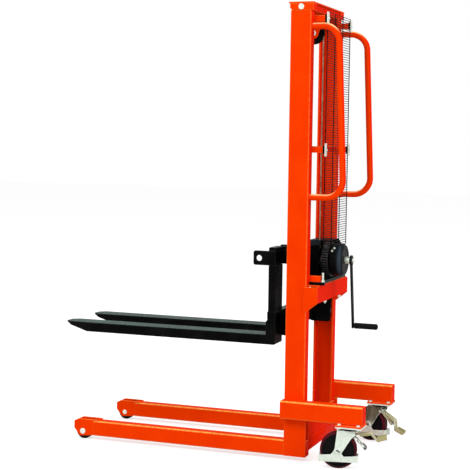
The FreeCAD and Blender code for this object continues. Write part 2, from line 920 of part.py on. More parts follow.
def winch_shroud():
    far = winch_plate_far - shroud_sheet
    near = winch_plate_near + shroud_sheet
    top = shroud_top
    step = shroud_shoulder
    outer = slab([(far, winch_base_top), (far, top), (near - step, top), (near, top - step),
                  (near, winch_base_top)], "y", winch_front_plate, shroud_rear)
    sheet = shroud_sheet
    inner = slab([(far + sheet, winch_base_top), (far + sheet, top - sheet),
                  (near - sheet - step, top - sheet), (near - sheet, top - step - sheet),
                  (near - sheet, winch_base_top)], "y", winch_front_plate, shroud_rear)
    shell = outer.cut(inner)
    roof = block(far, near - step, shroud_rear, shroud_hood_rear - shroud_hood_bevel, top - sheet, top)
    side = slab([(shroud_side_front, winch_base_top), (shroud_side_front, top - shroud_side_shoulder),
                 (shroud_side_front + shroud_side_bevel, top), (shroud_hood_rear - shroud_hood_bevel, top),
                 (shroud_hood_rear, top - shroud_side_shoulder), (shroud_hood_rear, winch_base_top)],
                "x", far, far + sheet)
    shell = shell.fuse([roof, side]).removeSplitter()
    slot = block(-slot_half, slot_half, slot_front, slot_rear, top - step - sheet, top)
    return shell.cut(slot)


def gear_cover():
    bore = crank_shaft_radius + clear_gap
    y0 = winch_plates_rear
    rear = cover_rear - y0
    front = rear - cover_thick
    edge = cover_edge
    step = barrel_front - y0
    profile = [(bore, 0), (neck_radius, 0), (neck_radius, step), (barrel_radius, step), (barrel_radius, front),
               (cover_radius, front + edge / 2), (cover_radius, rear - edge), (cover_radius - edge, rear),
               (bore, rear)]
    cover = turned(profile, point(crank_x, y0, crank_z), axis_y)
    for bolt in barrel_bolts():
        cover = cover.cut(bolt)
    return cover


def ribbed_ring():
    """Ribbed ring of the brake housing between the rear bearing plate and the round cover."""
    root = ring_radius - ring_rib_deep
    ring = []
    for k in range(2 * ring_ribs):
        reach = ring_radius if k % 2 else root
        for turn in (k, k + 1):
            a = math.pi * turn / ring_ribs
            ring.append((crank_x + reach * math.cos(a), crank_z + reach * math.sin(a)))
    body = slab(ring, "y", ring_front, ring_rear)
    return body.cut(rod_y(neck_radius, crank_x, ring_front, ring_rear, crank_z))


def barrel_bolts():
    bolts = []
    for turn, y in barrel_bolt_places:
        out = point(math.cos(math.radians(turn)), 0, math.sin(math.radians(turn)))
        foot = point(crank_x, y, crank_z) + out * (barrel_radius - barrel_bolt_sink)
        bolts.append(rod(barrel_bolt_radius, foot, out, barrel_bolt_sink + barrel_bolt_high))
    return bolts


def drum():
    front = winch_front_plate + winch_plate_thick + drum_front_gap
    rear = winch_mid_plate - drum_front_gap
    core = rod_y(drum_core_radius, drum_x, front, rear, drum_z)
    for y in (front, rear - drum_flange_thick):
        core = core.fuse(rod_y(drum_flange_radius, drum_x, y, y + drum_flange_thick, drum_z))
    shaft = rod_y(drum_shaft_radius, drum_x, winch_front_plate, winch_plates_rear, drum_z)
    return core.fuse(shaft).removeSplitter()


def mesh_turn():
    return math.atan2(crank_z - drum_z, crank_x - drum_x)


def drum_gear():
    rear = gear_front + gear_width
    wheel = toothed(gear_pitch_radius, gear_teeth, mesh_turn(), drum_x, drum_z, gear_front, rear)
    for y0, y1 in [(gear_front, gear_front + gear_web_recess), (rear - gear_web_recess, rear)]:
        hub = rod_y(gear_hub_radius, drum_x, y0, y1, drum_z)
        wheel = wheel.cut(rod_y(gear_web_radius, drum_x, y0, y1, drum_z).cut(hub))
    return wheel.cut(rod_y(drum_shaft_radius, drum_x, gear_front, rear, drum_z))


def winding_point(turn):
    """Point and heading of the rope on the drum, counted in turns from where it leaves the drum."""
    a = -2 * math.pi * turn
    place = point(drum_x + rope_drum_radius * math.cos(a), rope_back_y - rope_pitch * turn,
                  drum_z + rope_drum_radius * math.sin(a))
    circle = 2 * math.pi * rope_drum_radius
    heading = point(circle * math.sin(a), -rope_pitch, -circle * math.cos(a))
    return place, heading.normalize()


def drum_rope():
    quarters = 4
    edges = []
    for k in range(quarters * rope_turns):
        p0, t0 = winding_point(k / quarters)
        p1, t1 = winding_point((k + 1) / quarters)
        edges += biarc(p0, t0, p1, t1)
    samples = 36
    line = [winding_point(k / samples)[0] for k in range(samples * rope_turns + 1)]
    apart = samples // 2
    least = min((a - b).Length for i, a in enumerate(line) for b in line[i + apart:])
    print("least gap between rope turns", round(least - 2 * rope_radius, 3))
    return swept(edges, rope_radius)


def rope_rear():
    low = point(0, rope_back_y, drum_z + clear_gap)
    high = point(0, rope_back_y, sheave_z)
    crest = point(0, sheave_y, sheave_z + sheave_pitch_radius)
    front = point(0, rope_front_y, sheave_z)
    rise = rod(rope_radius, low, axis_z, high.z - low.z)
    bend = swept([Part.Arc(high, crest, front).toShape()], rope_radius)
    return rise.fuse(bend)


def crank_shaft():
    shaft = rod_y(crank_shaft_radius, crank_x, crank_shaft_front, boss_rear, crank_z)
    teeth_turn = mesh_turn() + math.pi + math.pi / pinion_teeth
    pinion = toothed(pinion_pitch_radius, pinion_teeth, teeth_turn, crank_x, crank_z, gear_front,
                     gear_front + gear_width)
    hub_front = cover_rear + cover_gap
    hub = rod_y(hub_radius, crank_x, hub_front, hub_rear, crank_z)
    step = rod_y(hub_step_radius, crank_x, hub_rear, hub_step_rear, crank_z)
    nut = rod_y(crank_nut_radius, crank_x, boss_rear, boss_rear + crank_nut_high, crank_z)
    return shaft.fuse([pinion, hub, step, nut]).removeSplitter()


def crank_arm():
    half = crank_arm_width / 2
    outline = [(boss_front, crank_z), (crank_end_y, crank_low - half),
               (crank_end_y + crank_arm_thick, crank_low - half), (boss_front + crank_arm_thick, crank_z)]
    bar = slab(outline, "x", crank_x - half, crank_x + half)
    boss = rod_y(boss_radius, crank_x, boss_front, boss_rear, crank_z)
    arm_rear_y = crank_end_y + crank_arm_thick
    pin = rod_y(grip_pin_radius, crank_x, crank_end_y, grip_rear + grip_gap, crank_low)
    collar = rod_y(grip_pin_head_radius, crank_x, arm_rear_y - crank_arm_thick / 2,
                   grip_front - 2 * clear_gap, crank_low)
    head = rod_y(grip_pin_head_radius, crank_x, grip_rear + 2 * clear_gap, grip_rear + grip_gap, crank_low)
    body = bar.fuse([boss, pin, collar, head]).removeSplitter()
    return body.cut(rod_y(crank_shaft_radius, crank_x, boss_front, boss_rear, crank_z))


def crank_grip():
    r = grip_radius
    edge = grip_edge
    bore = grip_pin_radius + running_gap
    profile = [(bore, 0), (r - edge, 0), (r, edge), (r, grip_length - edge), (r - edge, grip_length),
               (bore, grip_length)]
    return turned(profile, point(crank_x, grip_front, crank_low), axis_y)


def pawl():
    y1 = pawl_front + pawl_width
    boss = rod_y(pawl_boss_radius, pawl_x, pawl_front, y1, pawl_z)
    run_x = -pawl_reach
    run_z = -pawl_drop
    length = math.hypot(run_x, run_z)
    bar = block(0, length, pawl_front, y1, -pawl_thick / 2, pawl_thick / 2)
    bar.rotate(origin, axis_y, -math.degrees(math.atan2(run_z, run_x)))
    bar.translate(point(pawl_x, 0, pawl_z))
    lever = boss.fuse(bar).removeSplitter()
    return lever.cut(rod_y(pawl_pin_radius + running_gap, pawl_x, pawl_front, y1, pawl_z))


def fork():
    side = [(fork_tip, fork_top), (fork_tip, fork_top - fork_tip_nose), (fork_tip + fork_taper, fork_low),
            (heel_rear - heel_round, fork_low), (heel_rear, fork_low + heel_round), (heel_rear, heel_high),
            (heel_front + heel_bevel, heel_high), (heel_front, heel_high - heel_bevel),
            (heel_front, fork_top)]
    body = slab(side, "x", fork_in, fork_out)
    bevel_rear = fork_tip + fork_tip_bevel_y
    for edge, inner in ((fork_out, fork_out - fork_tip_bevel_x), (fork_in, fork_in + fork_tip_bevel_x)):
        corner = [(inner, fork_tip), (edge, fork_tip), (edge, bevel_rear)]
        body = body.cut(slab(corner, "z", fork_low, fork_top))
    return body


def upper_bar():
    bar = block(-bar_out, bar_out, post_front, upper_bar_rear, upper_bar_low, upper_bar_high)
    ear = block(bar_out - ear_thick, bar_out, ear_front, post_front, upper_bar_low, upper_bar_high)
    nose = [e for e in edges_along(ear, axis_x) if abs(e.Vertexes[0].Y - ear_front) < running_gap]
    ear = ear.makeFillet(ear_corner, nose)
    ear = ear.cut(rod_x(ear_hole_radius, bar_out - ear_thick, bar_out, ear_hole_y, ear_hole_z))
    return bar.fuse(pair(ear)).removeSplitter()


def posts():
    post = block(fork_in, fork_out, post_front, post_rear, lower_bar_top, upper_bar_low)
    hook = block(fork_in, fork_out, post_front, upper_bar_rear, upper_bar_high, hook_high)
    front = [e for e in edges_along(hook, axis_x) if e.Vertexes[0].Z > upper_bar_high + running_gap]
    return group(pair(post) + pair(hook.makeChamfer(hook_edge, front)))


def carriage_plates():
    side = rounded(block(side_in, side_in + side_thick, side_front, side_rear, side_low, side_high),
                   side_corner, axis_x)
    upper = block(link_in, link_out, upper_bar_rear, 0, upper_link_low, hook_high)
    lower = block(link_in, link_out, heel_rear, 0, lower_link_low, lower_link_high)
    reach_low = side_low + side_corner
    reach_high = side_high - side_corner
    upper_web = block(link_out, side_in, side_front, 0, upper_link_low, reach_high)
    lower_web = block(link_out, side_in, side_front, 0, reach_low, lower_link_high)
    pieces = []
    for piece in (side, upper, lower, upper_web, lower_web):
        pieces += pair(piece)
    return group(pieces)


def rope_anchor():
    lug = block(-anchor_half, anchor_half, heel_rear, anchor_rear, heel_high, lower_bar_top)
    ferrule = rod_z(ferrule_radius, 0, rope_front_y, lower_bar_top, anchor_top)
    return lug.fuse(ferrule)


def carriage_roller(level):
    r = carriage_roller_radius
    w = carriage_roller_width
    edge = carriage_roller_edge
    bore = stud_pin_radius + running_gap
    profile = [(bore, 0), (r - edge, 0), (r, edge), (r, w - edge), (r - edge, w), (bore, w)]
    return turned(profile, point(carriage_roller_in, column_mid_y, level), axis_x)


def roller_studs():
    studs = []
    for level in (roller_lower, roller_upper):
        pin = rod_x(stud_pin_radius, side_in + side_thick, stud_pin_end, column_mid_y, level)
        studs += pair(pin)
    return group(studs)


nodes = {}
nodes["columns"] = group(pair(column()))
nodes["mast_head"] = mast_head()
nodes["head_plugs"] = group(pair(rod_x(plug_radius, head_block_out - plug_depth, head_block_out + plug_stand,
                                       plug_y, plug_z)))
nodes["sheave_cheeks"] = group(pair(sheave_cheek()))
nodes["sheave_pin"] = sheave_pin()
nodes["mid_brace"] = block(-column_in, column_in, column_depth - brace_thick, column_depth, brace_low,
                           brace_low + brace_height)
nodes["legs"] = group(pair(leg()))
nodes["leg_cheeks"] = group([piece for cheek in leg_cheeks() for piece in pair(cheek)])
nodes["roller_pins"] = group(pair(front_pin()))
nodes["base_blocks"] = group(pair(base_block()))
nodes["cross_plate"] = block(-leg_in, leg_in, column_depth, column_depth + cross_plate_thick, cross_plate_low,
                             cross_plate_high)
nodes["arms"] = group(pair(arm()))
nodes["caster_plates"] = group(pair(caster_footprint(caster_plate_low, arm_low)))
nodes["caster_tops"] = group(pair(caster_top()))
nodes["caster_bolts"] = group([piece for bolt in caster_bolts() for piece in pair(bolt)])
nodes["handles"] = group(pair(handle()))
nodes["guard_mesh"] = guard_mesh()
guard_tabs, guard_clips, guard_strips, guard_bolts = guard_fixings()
nodes["guard_tabs"] = guard_tabs
nodes["guard_clips"] = guard_clips
nodes["guard_strips"] = guard_strips
nodes["winch_bracket"] = winch_bracket()
nodes["winch_base"] = winch_base()
nodes["winch_plates"] = winch_plates()
nodes["winch_shroud"] = winch_shroud()
nodes["gear_cover"] = gear_cover()
nodes["ribbed_ring"] = ribbed_ring()
nodes["bright_bolts"] = group(guard_bolts + bracket_bolts() + barrel_bolts() + [winch_stud()])
nodes["rope_rear"] = rope_rear()
nodes["sheave"] = sheave()
nodes["drum"] = drum()
nodes["drum_gear"] = drum_gear()
nodes["drum_rope"] = drum_rope()
nodes["crank_shaft"] = crank_shaft()
nodes["crank_arm"] = crank_arm()
nodes["crank_grip"] = crank_grip()
nodes["pawl"] = pawl()
nodes["forks"] = group(pair(fork()))
nodes["lower_bar"] = block(-lower_bar_out, lower_bar_out, lower_bar_front, heel_rear, heel_high,
                           lower_bar_top)
nodes["posts"] = posts()
nodes["upper_bar"] = upper_bar()
nodes["carriage_plates"] = carriage_plates()
nodes["rope_anchor"] = rope_anchor()
nodes["roller_studs"] = roller_studs()
nodes["rope_front"] = rod_z(rope_radius, 0, rope_front_y, anchor_top, sheave_z)
for name, level in (("lower", roller_lower), ("upper", roller_upper)):
    roller = carriage_roller(level)
    nodes["mast_roller_" + name + "_right"] = roller
    nodes["mast_roller_" + name + "_left"] = mirrored(roller)
sided = {"front_roller": front_roller, "caster_yoke": caster_yoke, "caster_tyre": caster_tyre,
         "caster_core": caster_core}
for name, make in sided.items():
    piece = make()
    nodes[name + "_right"] = piece
    nodes[name + "_left"] = mirrored(piece)
nodes["caster_pedal_right"] = brake_pedal(toe_drop_right)
nodes["caster_pedal_left"] = mirrored(brake_pedal(toe_drop_left))

# The row's origin is the middle of the footprint, on the floor
boxes = [shape.optimalBoundingBox(False, False) for shape in nodes.values()]
centre_y = (min(b.YMin for b in boxes) + max(b.YMax for b in boxes)) / 2
print("moved along Y by", round(-centre_y, 4))
os.makedirs("parts", exist_ok=True)
for name, shape in nodes.items():
    shape.translate(point(0, -centre_y, 0))
    shape.exportStep("parts/" + name + ".step")
    print(name, len(shape.Solids), round(shape.Volume, 1), shape.isValid())
print("size", round(max(b.XMax for b in boxes) - min(b.XMin for b in boxes), 2),
      round(max(b.YMax for b in boxes) - min(b.YMin for b in boxes), 2),
      round(max(b.ZMax for b in boxes) - min(b.ZMin for b in boxes), 2))
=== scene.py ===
import json
import math
import bmesh
import bpy
from mathutils import Matrix, Vector

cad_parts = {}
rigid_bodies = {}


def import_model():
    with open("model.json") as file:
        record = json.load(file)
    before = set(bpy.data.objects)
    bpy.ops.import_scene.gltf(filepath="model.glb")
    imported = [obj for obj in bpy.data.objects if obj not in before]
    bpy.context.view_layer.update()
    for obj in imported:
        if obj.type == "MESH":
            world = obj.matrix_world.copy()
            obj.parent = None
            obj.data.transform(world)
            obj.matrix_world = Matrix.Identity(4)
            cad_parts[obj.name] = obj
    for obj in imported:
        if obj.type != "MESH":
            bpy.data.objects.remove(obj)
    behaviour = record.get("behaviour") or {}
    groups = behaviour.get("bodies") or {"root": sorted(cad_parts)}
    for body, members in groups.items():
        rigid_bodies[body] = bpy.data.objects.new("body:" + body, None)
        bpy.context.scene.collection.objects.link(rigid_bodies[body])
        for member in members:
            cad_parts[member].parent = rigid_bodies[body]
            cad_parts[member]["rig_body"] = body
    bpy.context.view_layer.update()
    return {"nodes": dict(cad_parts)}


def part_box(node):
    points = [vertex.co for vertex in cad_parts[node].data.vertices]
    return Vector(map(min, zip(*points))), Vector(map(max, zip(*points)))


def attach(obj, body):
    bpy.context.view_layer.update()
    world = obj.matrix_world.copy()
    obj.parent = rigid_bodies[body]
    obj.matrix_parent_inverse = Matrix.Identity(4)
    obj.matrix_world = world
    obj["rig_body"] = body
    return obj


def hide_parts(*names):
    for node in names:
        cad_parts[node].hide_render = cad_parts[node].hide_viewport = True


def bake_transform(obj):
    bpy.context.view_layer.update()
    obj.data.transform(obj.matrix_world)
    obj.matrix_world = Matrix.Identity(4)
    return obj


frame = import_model()
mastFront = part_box("columns")[0].y  # front face of the columns, where the drawing's Y starts
print("stacker frame loaded:", len(frame["nodes"]), "nodes")

axisX = Vector((1, 0, 0))
axisY = Vector((0, 1, 0))
axisZ = Vector((0, 0, 1))


def at(x, y, z):  # drawing millimetres to the shared frame
    return Vector((x / 1000, mastFront + y / 1000, z / 1000))


# shader helpers
class Val:
    def __init__(self, shade, socket):
        self.shade = shade
        self.socket = socket

    def sum(self, operation, first, second):
        return self.shade.node("ShaderNodeMath", {"operation": operation}, {0: first, 1: second})

    def __add__(self, other):
        return self.sum("ADD", self, other)

    def __radd__(self, other):
        return self.sum("ADD", other, self)

    def __sub__(self, other):
        return self.sum("SUBTRACT", self, other)

    def __rsub__(self, other):
        return self.sum("SUBTRACT", other, self)

    def __mul__(self, other):
        return self.sum("MULTIPLY", self, other)

    def __rmul__(self, other):
        return self.sum("MULTIPLY", other, self)


class Shade:
    def __init__(self, owner):
        owner.use_nodes = True
        self.owner = owner
        self.tree = owner.node_tree
        self.tree.nodes.clear()

    def feed(self, socket, value):
        if isinstance(value, Val):
            self.tree.links.new(value.socket, socket)
        elif isinstance(value, tuple) and len(value) == 3 and socket.type == "RGBA":
            socket.default_value = value + (1.0,)
        else:
            socket.default_value = value

    def node(self, kind, settings, sockets, out=0):
        made = self.tree.nodes.new(kind)
        for key, value in settings.items():
            setattr(made, key, value)
        for key, value in sockets.items():
            self.feed(made.inputs[key], value)
        return Val(self, made.outputs[out]) if len(made.outputs) else None

    def coords(self, kind="Object"):
        return self.node("ShaderNodeTexCoord", {}, {}, kind)

    def part(self, vector, axis):
        return self.node("ShaderNodeSeparateXYZ", {}, {0: vector}, axis)

    def mix(self, factor, first, second):
        return self.node("ShaderNodeMix", {"data_type": "RGBA"}, {0: factor, 6: first, 7: second}, 2)

    def grain(self, scale, detail=4.0, rough=0.55, stretch=None):
        where = self.coords()
        if stretch:
            where = self.node("ShaderNodeMapping", {}, {"Vector": where, "Scale": stretch})
        return self.node("ShaderNodeTexNoise", {}, {"Vector": where, "Scale": scale, "Detail": detail,
                                                    "Roughness": rough})

    def band(self, value, low, high, soft=0.0, full=1.0):
        return self.node("ShaderNodeMapRange", {"interpolation_type": "SMOOTHSTEP"},
                         {"Value": value, "From Min": low, "From Max": high, "To Min": soft, "To Max": full})

    def edge(self):
        return self.node("ShaderNodeAttribute", {"attribute_name": "edge"}, {}, "Fac")

    def bump(self, height, strength, distance):
        return self.node("ShaderNodeBump", {}, {"Height": height, "Strength": strength, "Distance": distance})

    def seen(self):  # one where the camera, a mirror or glass looks at the background
        looks = [self.node("ShaderNodeLightPath", {}, {}, "Is " + kind + " Ray")
                 for kind in ("Camera", "Glossy", "Transmission")]
        mirror = self.node("ShaderNodeMath", {"operation": "MAXIMUM"}, {0: looks[1], 1: looks[2]})
        return self.node("ShaderNodeMath", {"operation": "MAXIMUM"}, {0: looks[0], 1: mirror})

    def close(self, sockets):
        skin = self.node("ShaderNodeBsdfPrincipled", {}, sockets)
        self.node("ShaderNodeOutputMaterial", {}, {"Surface": skin})
        return self.owner


def newFinish(name):
    return Shade(bpy.data.materials.new(name))


# finishes
# rear, rim and crest are painted light: painted shade on rear faces, painted highlights on upper edges and on
# tube tops
redEnamel = {"lit": (0.88, 0.046, 0.0005), "deep": (0.79, 0.026, 0.0005), "rear": (0.85, 0.010, 0.0008),
             "rim": (1.0, 0.46, 0.09), "crest": (1.0, 0.66, 0.30), "speck": (0.30, 0.01, 0.004),
             "gloss": 0.0012}


def makeRedEnamel(name, shine):  # shine: strength of the painted highlight on the tops of round tubes
    s = newFinish(name)
    cloud = s.band(s.grain(7.0, 5.0), 0.35, 0.68)
    streak = s.band(s.grain(26.0, 3.0, 0.6, (1.0, 1.0, 0.12)), 0.45, 0.8)
    base = s.mix(cloud * 0.40 + streak * 0.14, redEnamel["lit"], redEnamel["deep"])
    facing = s.coords("Normal")
    # painted shade: faces turned to the rear are mixed towards the deeper rear red
    base = s.mix(s.band(s.part(facing, "Y"), 0.45, 0.95) * 0.85, base, redEnamel["rear"])
    # painted highlight: bevelled edges turn bright orange, most where they face up
    upward = s.band(s.part(facing, "Z"), 0.12, 0.75, 0.22, 1.0)
    rim = s.edge() * upward * s.band(s.grain(60.0, 6.0), 0.40, 0.60, 0.55, 0.95)
    base = s.mix(rim, base, redEnamel["rim"])
    # painted highlight: cream on up-facing parts of round tubes, scaled by shine
    crest = s.band(s.part(facing, "Z"), 0.42, 0.80) * s.band(s.grain(12.0, 3.0), 0.30, 0.65, 0.5, 1.0)
    base = s.mix(crest * shine, base, redEnamel["crest"])
    dust = s.band(s.grain(420.0, 2.0), 0.66, 0.74)
    base = s.mix(dust * 0.10, base, redEnamel["speck"])
    rough = 0.22 + 0.14 * s.band(s.grain(90.0, 4.0), 0.35, 0.7) + rim * 0.1
    return s.close({"Base Color": base, "Roughness": rough, "Specular IOR Level": redEnamel["gloss"],
                    "Normal": s.bump(s.grain(900.0, 2.0) * 0.3 + s.grain(38.0, 2.0), 0.10, 0.0012)})


blackEnamel = {"body": (0.0022, 0.0022, 0.0024), "haze": (0.0050, 0.0052, 0.0050),
               "rim": (0.030, 0.033, 0.032), "rub": (0.010, 0.010, 0.0095), "glint": (0.034, 0.049, 0.068)}


# sheen: painted sheen on upper faces, from a tilt of low to high, and glint: depths in millimetres of a
# painted highlight
def makeBlackEnamel(name, gloss, specular, sheen, low, high, glint=None):
    s = newFinish(name)
    base = s.mix(s.band(s.grain(9.0, 5.0), 0.38, 0.7), blackEnamel["body"], blackEnamel["haze"])
    rub = s.band(s.grain(34.0, 5.0, 0.6, (1.0, 0.25, 1.0)), 0.60, 0.76)
    base = s.mix(rub * 0.28, base, blackEnamel["rub"])
    # painted sheen: upper faces are mixed towards the sheen tone
    upward = s.band(s.part(s.coords("Normal"), "Z"), low, high)
    base = s.mix(upward * s.band(s.grain(5.0, 4.0), 0.30, 0.70, 0.45, 0.95), base, sheen)
    rim = s.edge() * s.band(s.grain(75.0, 6.0), 0.46, 0.62, 0.10, 0.60)
    base = s.mix(rim, base, blackEnamel["rim"])
    # painted highlight: a blue-grey band on side faces between the glint depths
    if glint:
        depth = s.part(s.coords(), "Y") - mastFront
        rise, full, fall, gone = (n / 1000 for n in glint)
        side = s.band(s.part(s.coords("Normal"), "X"), 0.25, 0.80)
        base = s.mix(s.band(depth, rise, full) * s.band(depth, fall, gone, 1.0, 0.0) * side * 0.85, base,
                     blackEnamel["glint"])
    rough = gloss + 0.16 * s.band(s.grain(70.0, 4.0), 0.35, 0.72) + rub * 0.08
    return s.close({"Base Color": base, "Roughness": rough, "Specular IOR Level": specular,
                    "Normal": s.bump(s.grain(1400.0, 2.0) * 0.35 + s.grain(45.0, 2.0), 0.10, 0.0008)})


zinc = {"pale": (0.71, 0.79, 0.69), "grey": (0.46, 0.50, 0.44), "gold": (0.34, 0.30, 0.11),
        "rim": (0.95, 0.98, 0.93), "stain": (0.14, 0.13, 0.09), "dusk": (0.060, 0.064, 0.020),
        "grime": (0.012, 0.016, 0.012)}


# dusk: heights in metres between which the plating is darkened as painted shade, and blotch: depth of its
# dark patches
def makeZinc(name, goldShare, rough, metal, dusk=None, blotch=0.0):
    s = newFinish(name)
    mottle = s.band(s.grain(70.0, 6.0, 0.62), 0.36, 0.70)
    base = s.mix(mottle * 0.35, zinc["pale"], zinc["grey"])
    gold = s.band(s.grain(19.0, 4.0), 0.62 - goldShare * 0.5, 0.80 - goldShare * 0.4)
    base = s.mix(gold * (0.15 + goldShare * 0.8), base, zinc["gold"])
    stain = s.band(s.grain(150.0, 5.0), 0.66, 0.77)
    base = s.mix(stain * 0.40, base, zinc["stain"])
    if dusk:
        runs = s.band(s.grain(26.0, 4.0, 0.6, (1.0, 1.0, 0.2)), 0.3, 0.7, 0.76, 1.0)
        # painted shade of the arm above: the plating darkens upwards, broken into streaks
        base = s.mix(s.band(s.part(s.coords(), "Z"), *dusk) * runs, base, zinc["dusk"])
    if blotch:
        base = s.mix(s.band(s.grain(75.0, 3.0), 0.47, 0.53) * blotch, base, zinc["grime"])
    rim = s.edge() * s.band(s.grain(90.0, 4.0), 0.36, 0.56, 0.5, 0.95)
    base = s.mix(rim, base, zinc["rim"])
    rolled = s.grain(190.0, 4.0, 0.6, (1.0, 1.0, 6.0))
    return s.close({"Base Color": base, "Roughness": rough + 0.16 * mottle + 0.1 * stain,
                    "Metallic": metal - metal * 0.5 * stain, "Specular IOR Level": 0.25,
                    "Normal": s.bump(rolled * 0.6 + s.grain(700.0, 2.0) * 0.5, 0.12, 0.0006)})


def makeDarkSteel(name, base, rough):  # turned rollers, gears and races
    s = newFinish(name)
    film = s.band(s.grain(60.0, 5.0), 0.38, 0.7)
    tone = s.mix(film * 0.6, base, tuple(c * 0.45 for c in base))
    oil = s.band(s.grain(22.0, 4.0), 0.52, 0.7)
    tone = s.mix(oil * 0.4, tone, tuple(c * 0.3 for c in base))
    lathe = s.grain(240.0, 3.0, 0.5, (8.0, 1.0, 1.0))
    return s.close({"Base Color": tone, "Roughness": rough + 0.2 * film, "Metallic": 0.85 - 0.4 * oil,
                    "Normal": s.bump(lathe, 0.10, 0.0005)})


ropeTone = {"bright": (0.40, 0.24, 0.13), "greased": (0.13, 0.06, 0.035)}


def makeRopeSteel():
    s = newFinish("ropeSteel")
    grease = s.band(s.grain(45.0, 5.0, 0.6, (1.0, 1.0, 0.3)), 0.40, 0.70)
    tone = s.mix(grease * 0.8, ropeTone["bright"], ropeTone["greased"])
    wires = s.grain(900.0, 2.0, 0.5, (1.0, 1.0, 0.35))
    return s.close({"Base Color": tone, "Roughness": 0.48 + 0.2 * grease, "Metallic": 0.30 - 0.2 * grease,
                    "Normal": s.bump(wires, 0.25, 0.0006)})


def makeMoulded(name, body, dull, rough, fineness):  # grips, wheel cores, tyres and nylon rollers
    s = newFinish(name)
    cloud = s.band(s.grain(24.0, 4.0), 0.36, 0.7)
    tone = s.mix(cloud * 0.6, body, dull)
    scuff = s.band(s.grain(150.0, 6.0, 0.65), 0.62, 0.76)
    tone = s.mix(scuff * 0.3, tone, tuple(min(1.0, c * 2.2 + 0.004) for c in dull))
    pebble = s.node("ShaderNodeTexVoronoi", {"feature": "SMOOTH_F1"},
                    {"Vector": s.coords(), "Scale": fineness, "Smoothness": 0.6}, "Distance")
    return s.close({"Base Color": tone, "Roughness": rough + 0.15 * cloud + 0.1 * scuff,
                    "Specular IOR Level": 0.05, "Normal": s.bump(pebble, 0.14, 0.0006)})


wireTone = {"black": (0.0035, 0.0035, 0.004), "dusty": (0.012, 0.012, 0.012), "bare": (0.04, 0.04, 0.035)}


def makeGuardWire():
    s = newFinish("guardWire")
    film = s.band(s.grain(30.0, 4.0), 0.36, 0.68)
    tone = s.mix(film, wireTone["black"], wireTone["dusty"])
    bare = s.band(s.grain(160.0, 5.0), 0.68, 0.78)
    tone = s.mix(bare * 0.3, tone, wireTone["bare"])
    return s.close({"Base Color": tone, "Roughness": 0.42 + 0.15 * film, "Specular IOR Level": 0.012,
                    "Normal": s.bump(s.grain(800.0, 2.0), 0.12, 0.0005)})


red = makeRedEnamel("redEnamel", 0.0)
# handles carry the painted highlight on their tube tops
handleRed = makeRedEnamel("handleEnamel", 0.85)
# fork, winch and cover blacks: painted sheen on upper faces, on the forks a teal reflection of the sky
forkBlack = makeBlackEnamel("forkBlack", 0.26, 0.014, (0.015, 0.054, 0.040), 0.80, 0.98)
winchBlack = makeBlackEnamel("winchBlack", 0.30, 0.020, (0.011, 0.017, 0.020), 0.10, 0.85)
# depths in millimetres where the cover's painted highlight rises, is full, falls and is gone
coverGlint = (180, 192, 201, 208)
coverBlack = makeBlackEnamel("coverBlack", 0.30, 0.022, (0.014, 0.021, 0.025), 0.30, 0.95, coverGlint)
ribGrey = makeDarkSteel("ribGrey", (0.040, 0.045, 0.047), 0.45)
brightZinc = makeZinc("brightZinc", 0.05, 0.24, 0.55)
casterZinc = makeZinc("casterZinc", 0.12, 0.34, 0.20)
goldZinc = makeZinc("goldZinc", 0.95, 0.34, 0.10)
duskZinc = makeZinc("duskZinc", 0.30, 0.36, 0.05, (0.060, 0.105))
leverZinc = makeZinc("leverZinc", 0.12, 0.34, 0.20, None, 0.92)
rollerSteel = makeDarkSteel("rollerSteel", (0.36, 0.36, 0.37), 0.30)
gearSteel = makeDarkSteel("gearSteel", (0.16, 0.155, 0.15), 0.36)
raceSteel = makeDarkSteel("raceSteel", (0.020, 0.020, 0.021), 0.40)
ropeSteel = makeRopeSteel()
gripPlastic = makeMoulded("gripPlastic", (0.0035, 0.0035, 0.004), (0.008, 0.008, 0.008), 0.38, 900.0)
coreBlack = makeMoulded("coreBlack", (0.0030, 0.0030, 0.0034), (0.007, 0.0065, 0.0065), 0.34, 500.0)
rollerNylon = makeMoulded("rollerNylon", (0.005, 0.005, 0.0055), (0.012, 0.011, 0.011), 0.42, 600.0)
tyreMaroon = makeMoulded("tyreMaroon", (0.085, 0.004, 0.010), (0.030, 0.003, 0.005), 0.46, 420.0)
guardWire = makeGuardWire()
print("finishes mixed")


# mesh helpers
sides = (1, -1)
both = ((1, "right"), (-1, "left"))
crease = {"solid": 40.0, "wire": 50.0, "rope": 60.0, "fixing": 30.0, "bead": 70.0, "trim": 35.0}
dressing = {"weld": 0.00001, "flat": 0.08, "wideFace": 0.0001, "slack": 0.00008, "sharp": 28.0,
            "square": 0.985, "widthShares": (1.0, 0.6, 0.35, 0.0), "rounded": ("arms", "legs", "columns")}
seamMerge = 0.000005


def newFaces(bm, known):
    return [f for f in bm.faces if f not in known]


# keep: angle in degrees from which an edge stays sharp
def finishPiece(bm, name, body, finish, stands, keep, weighted=False):
    mesh = bpy.data.meshes.new(name)
    bm.to_mesh(mesh)
    bm.free()
    mesh.shade_smooth()
    mesh.set_sharp_from_angle(angle=math.radians(keep))
    thing = bpy.data.objects.new(name, mesh)
    bpy.context.scene.collection.objects.link(thing)
    mesh.materials.append(finish)
    if weighted:
        even = thing.modifiers.new("evenFaces", "WEIGHTED_NORMAL")
        even.keep_sharp = True
    if body:
        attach(thing, body)
    if stands:
        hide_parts(*stands)
    return thing


def mergedMesh(nodeName):
    bm = bmesh.new()
    bm.from_mesh(frame["nodes"][nodeName].data)
    bmesh.ops.remove_doubles(bm, verts=bm.verts, dist=dressing["weld"])
    bmesh.ops.dissolve_limit(bm, angle_limit=math.radians(dressing["flat"]), verts=bm.verts, edges=bm.edges,
                             use_dissolve_boundaries=False, delimit=set())
    return bm


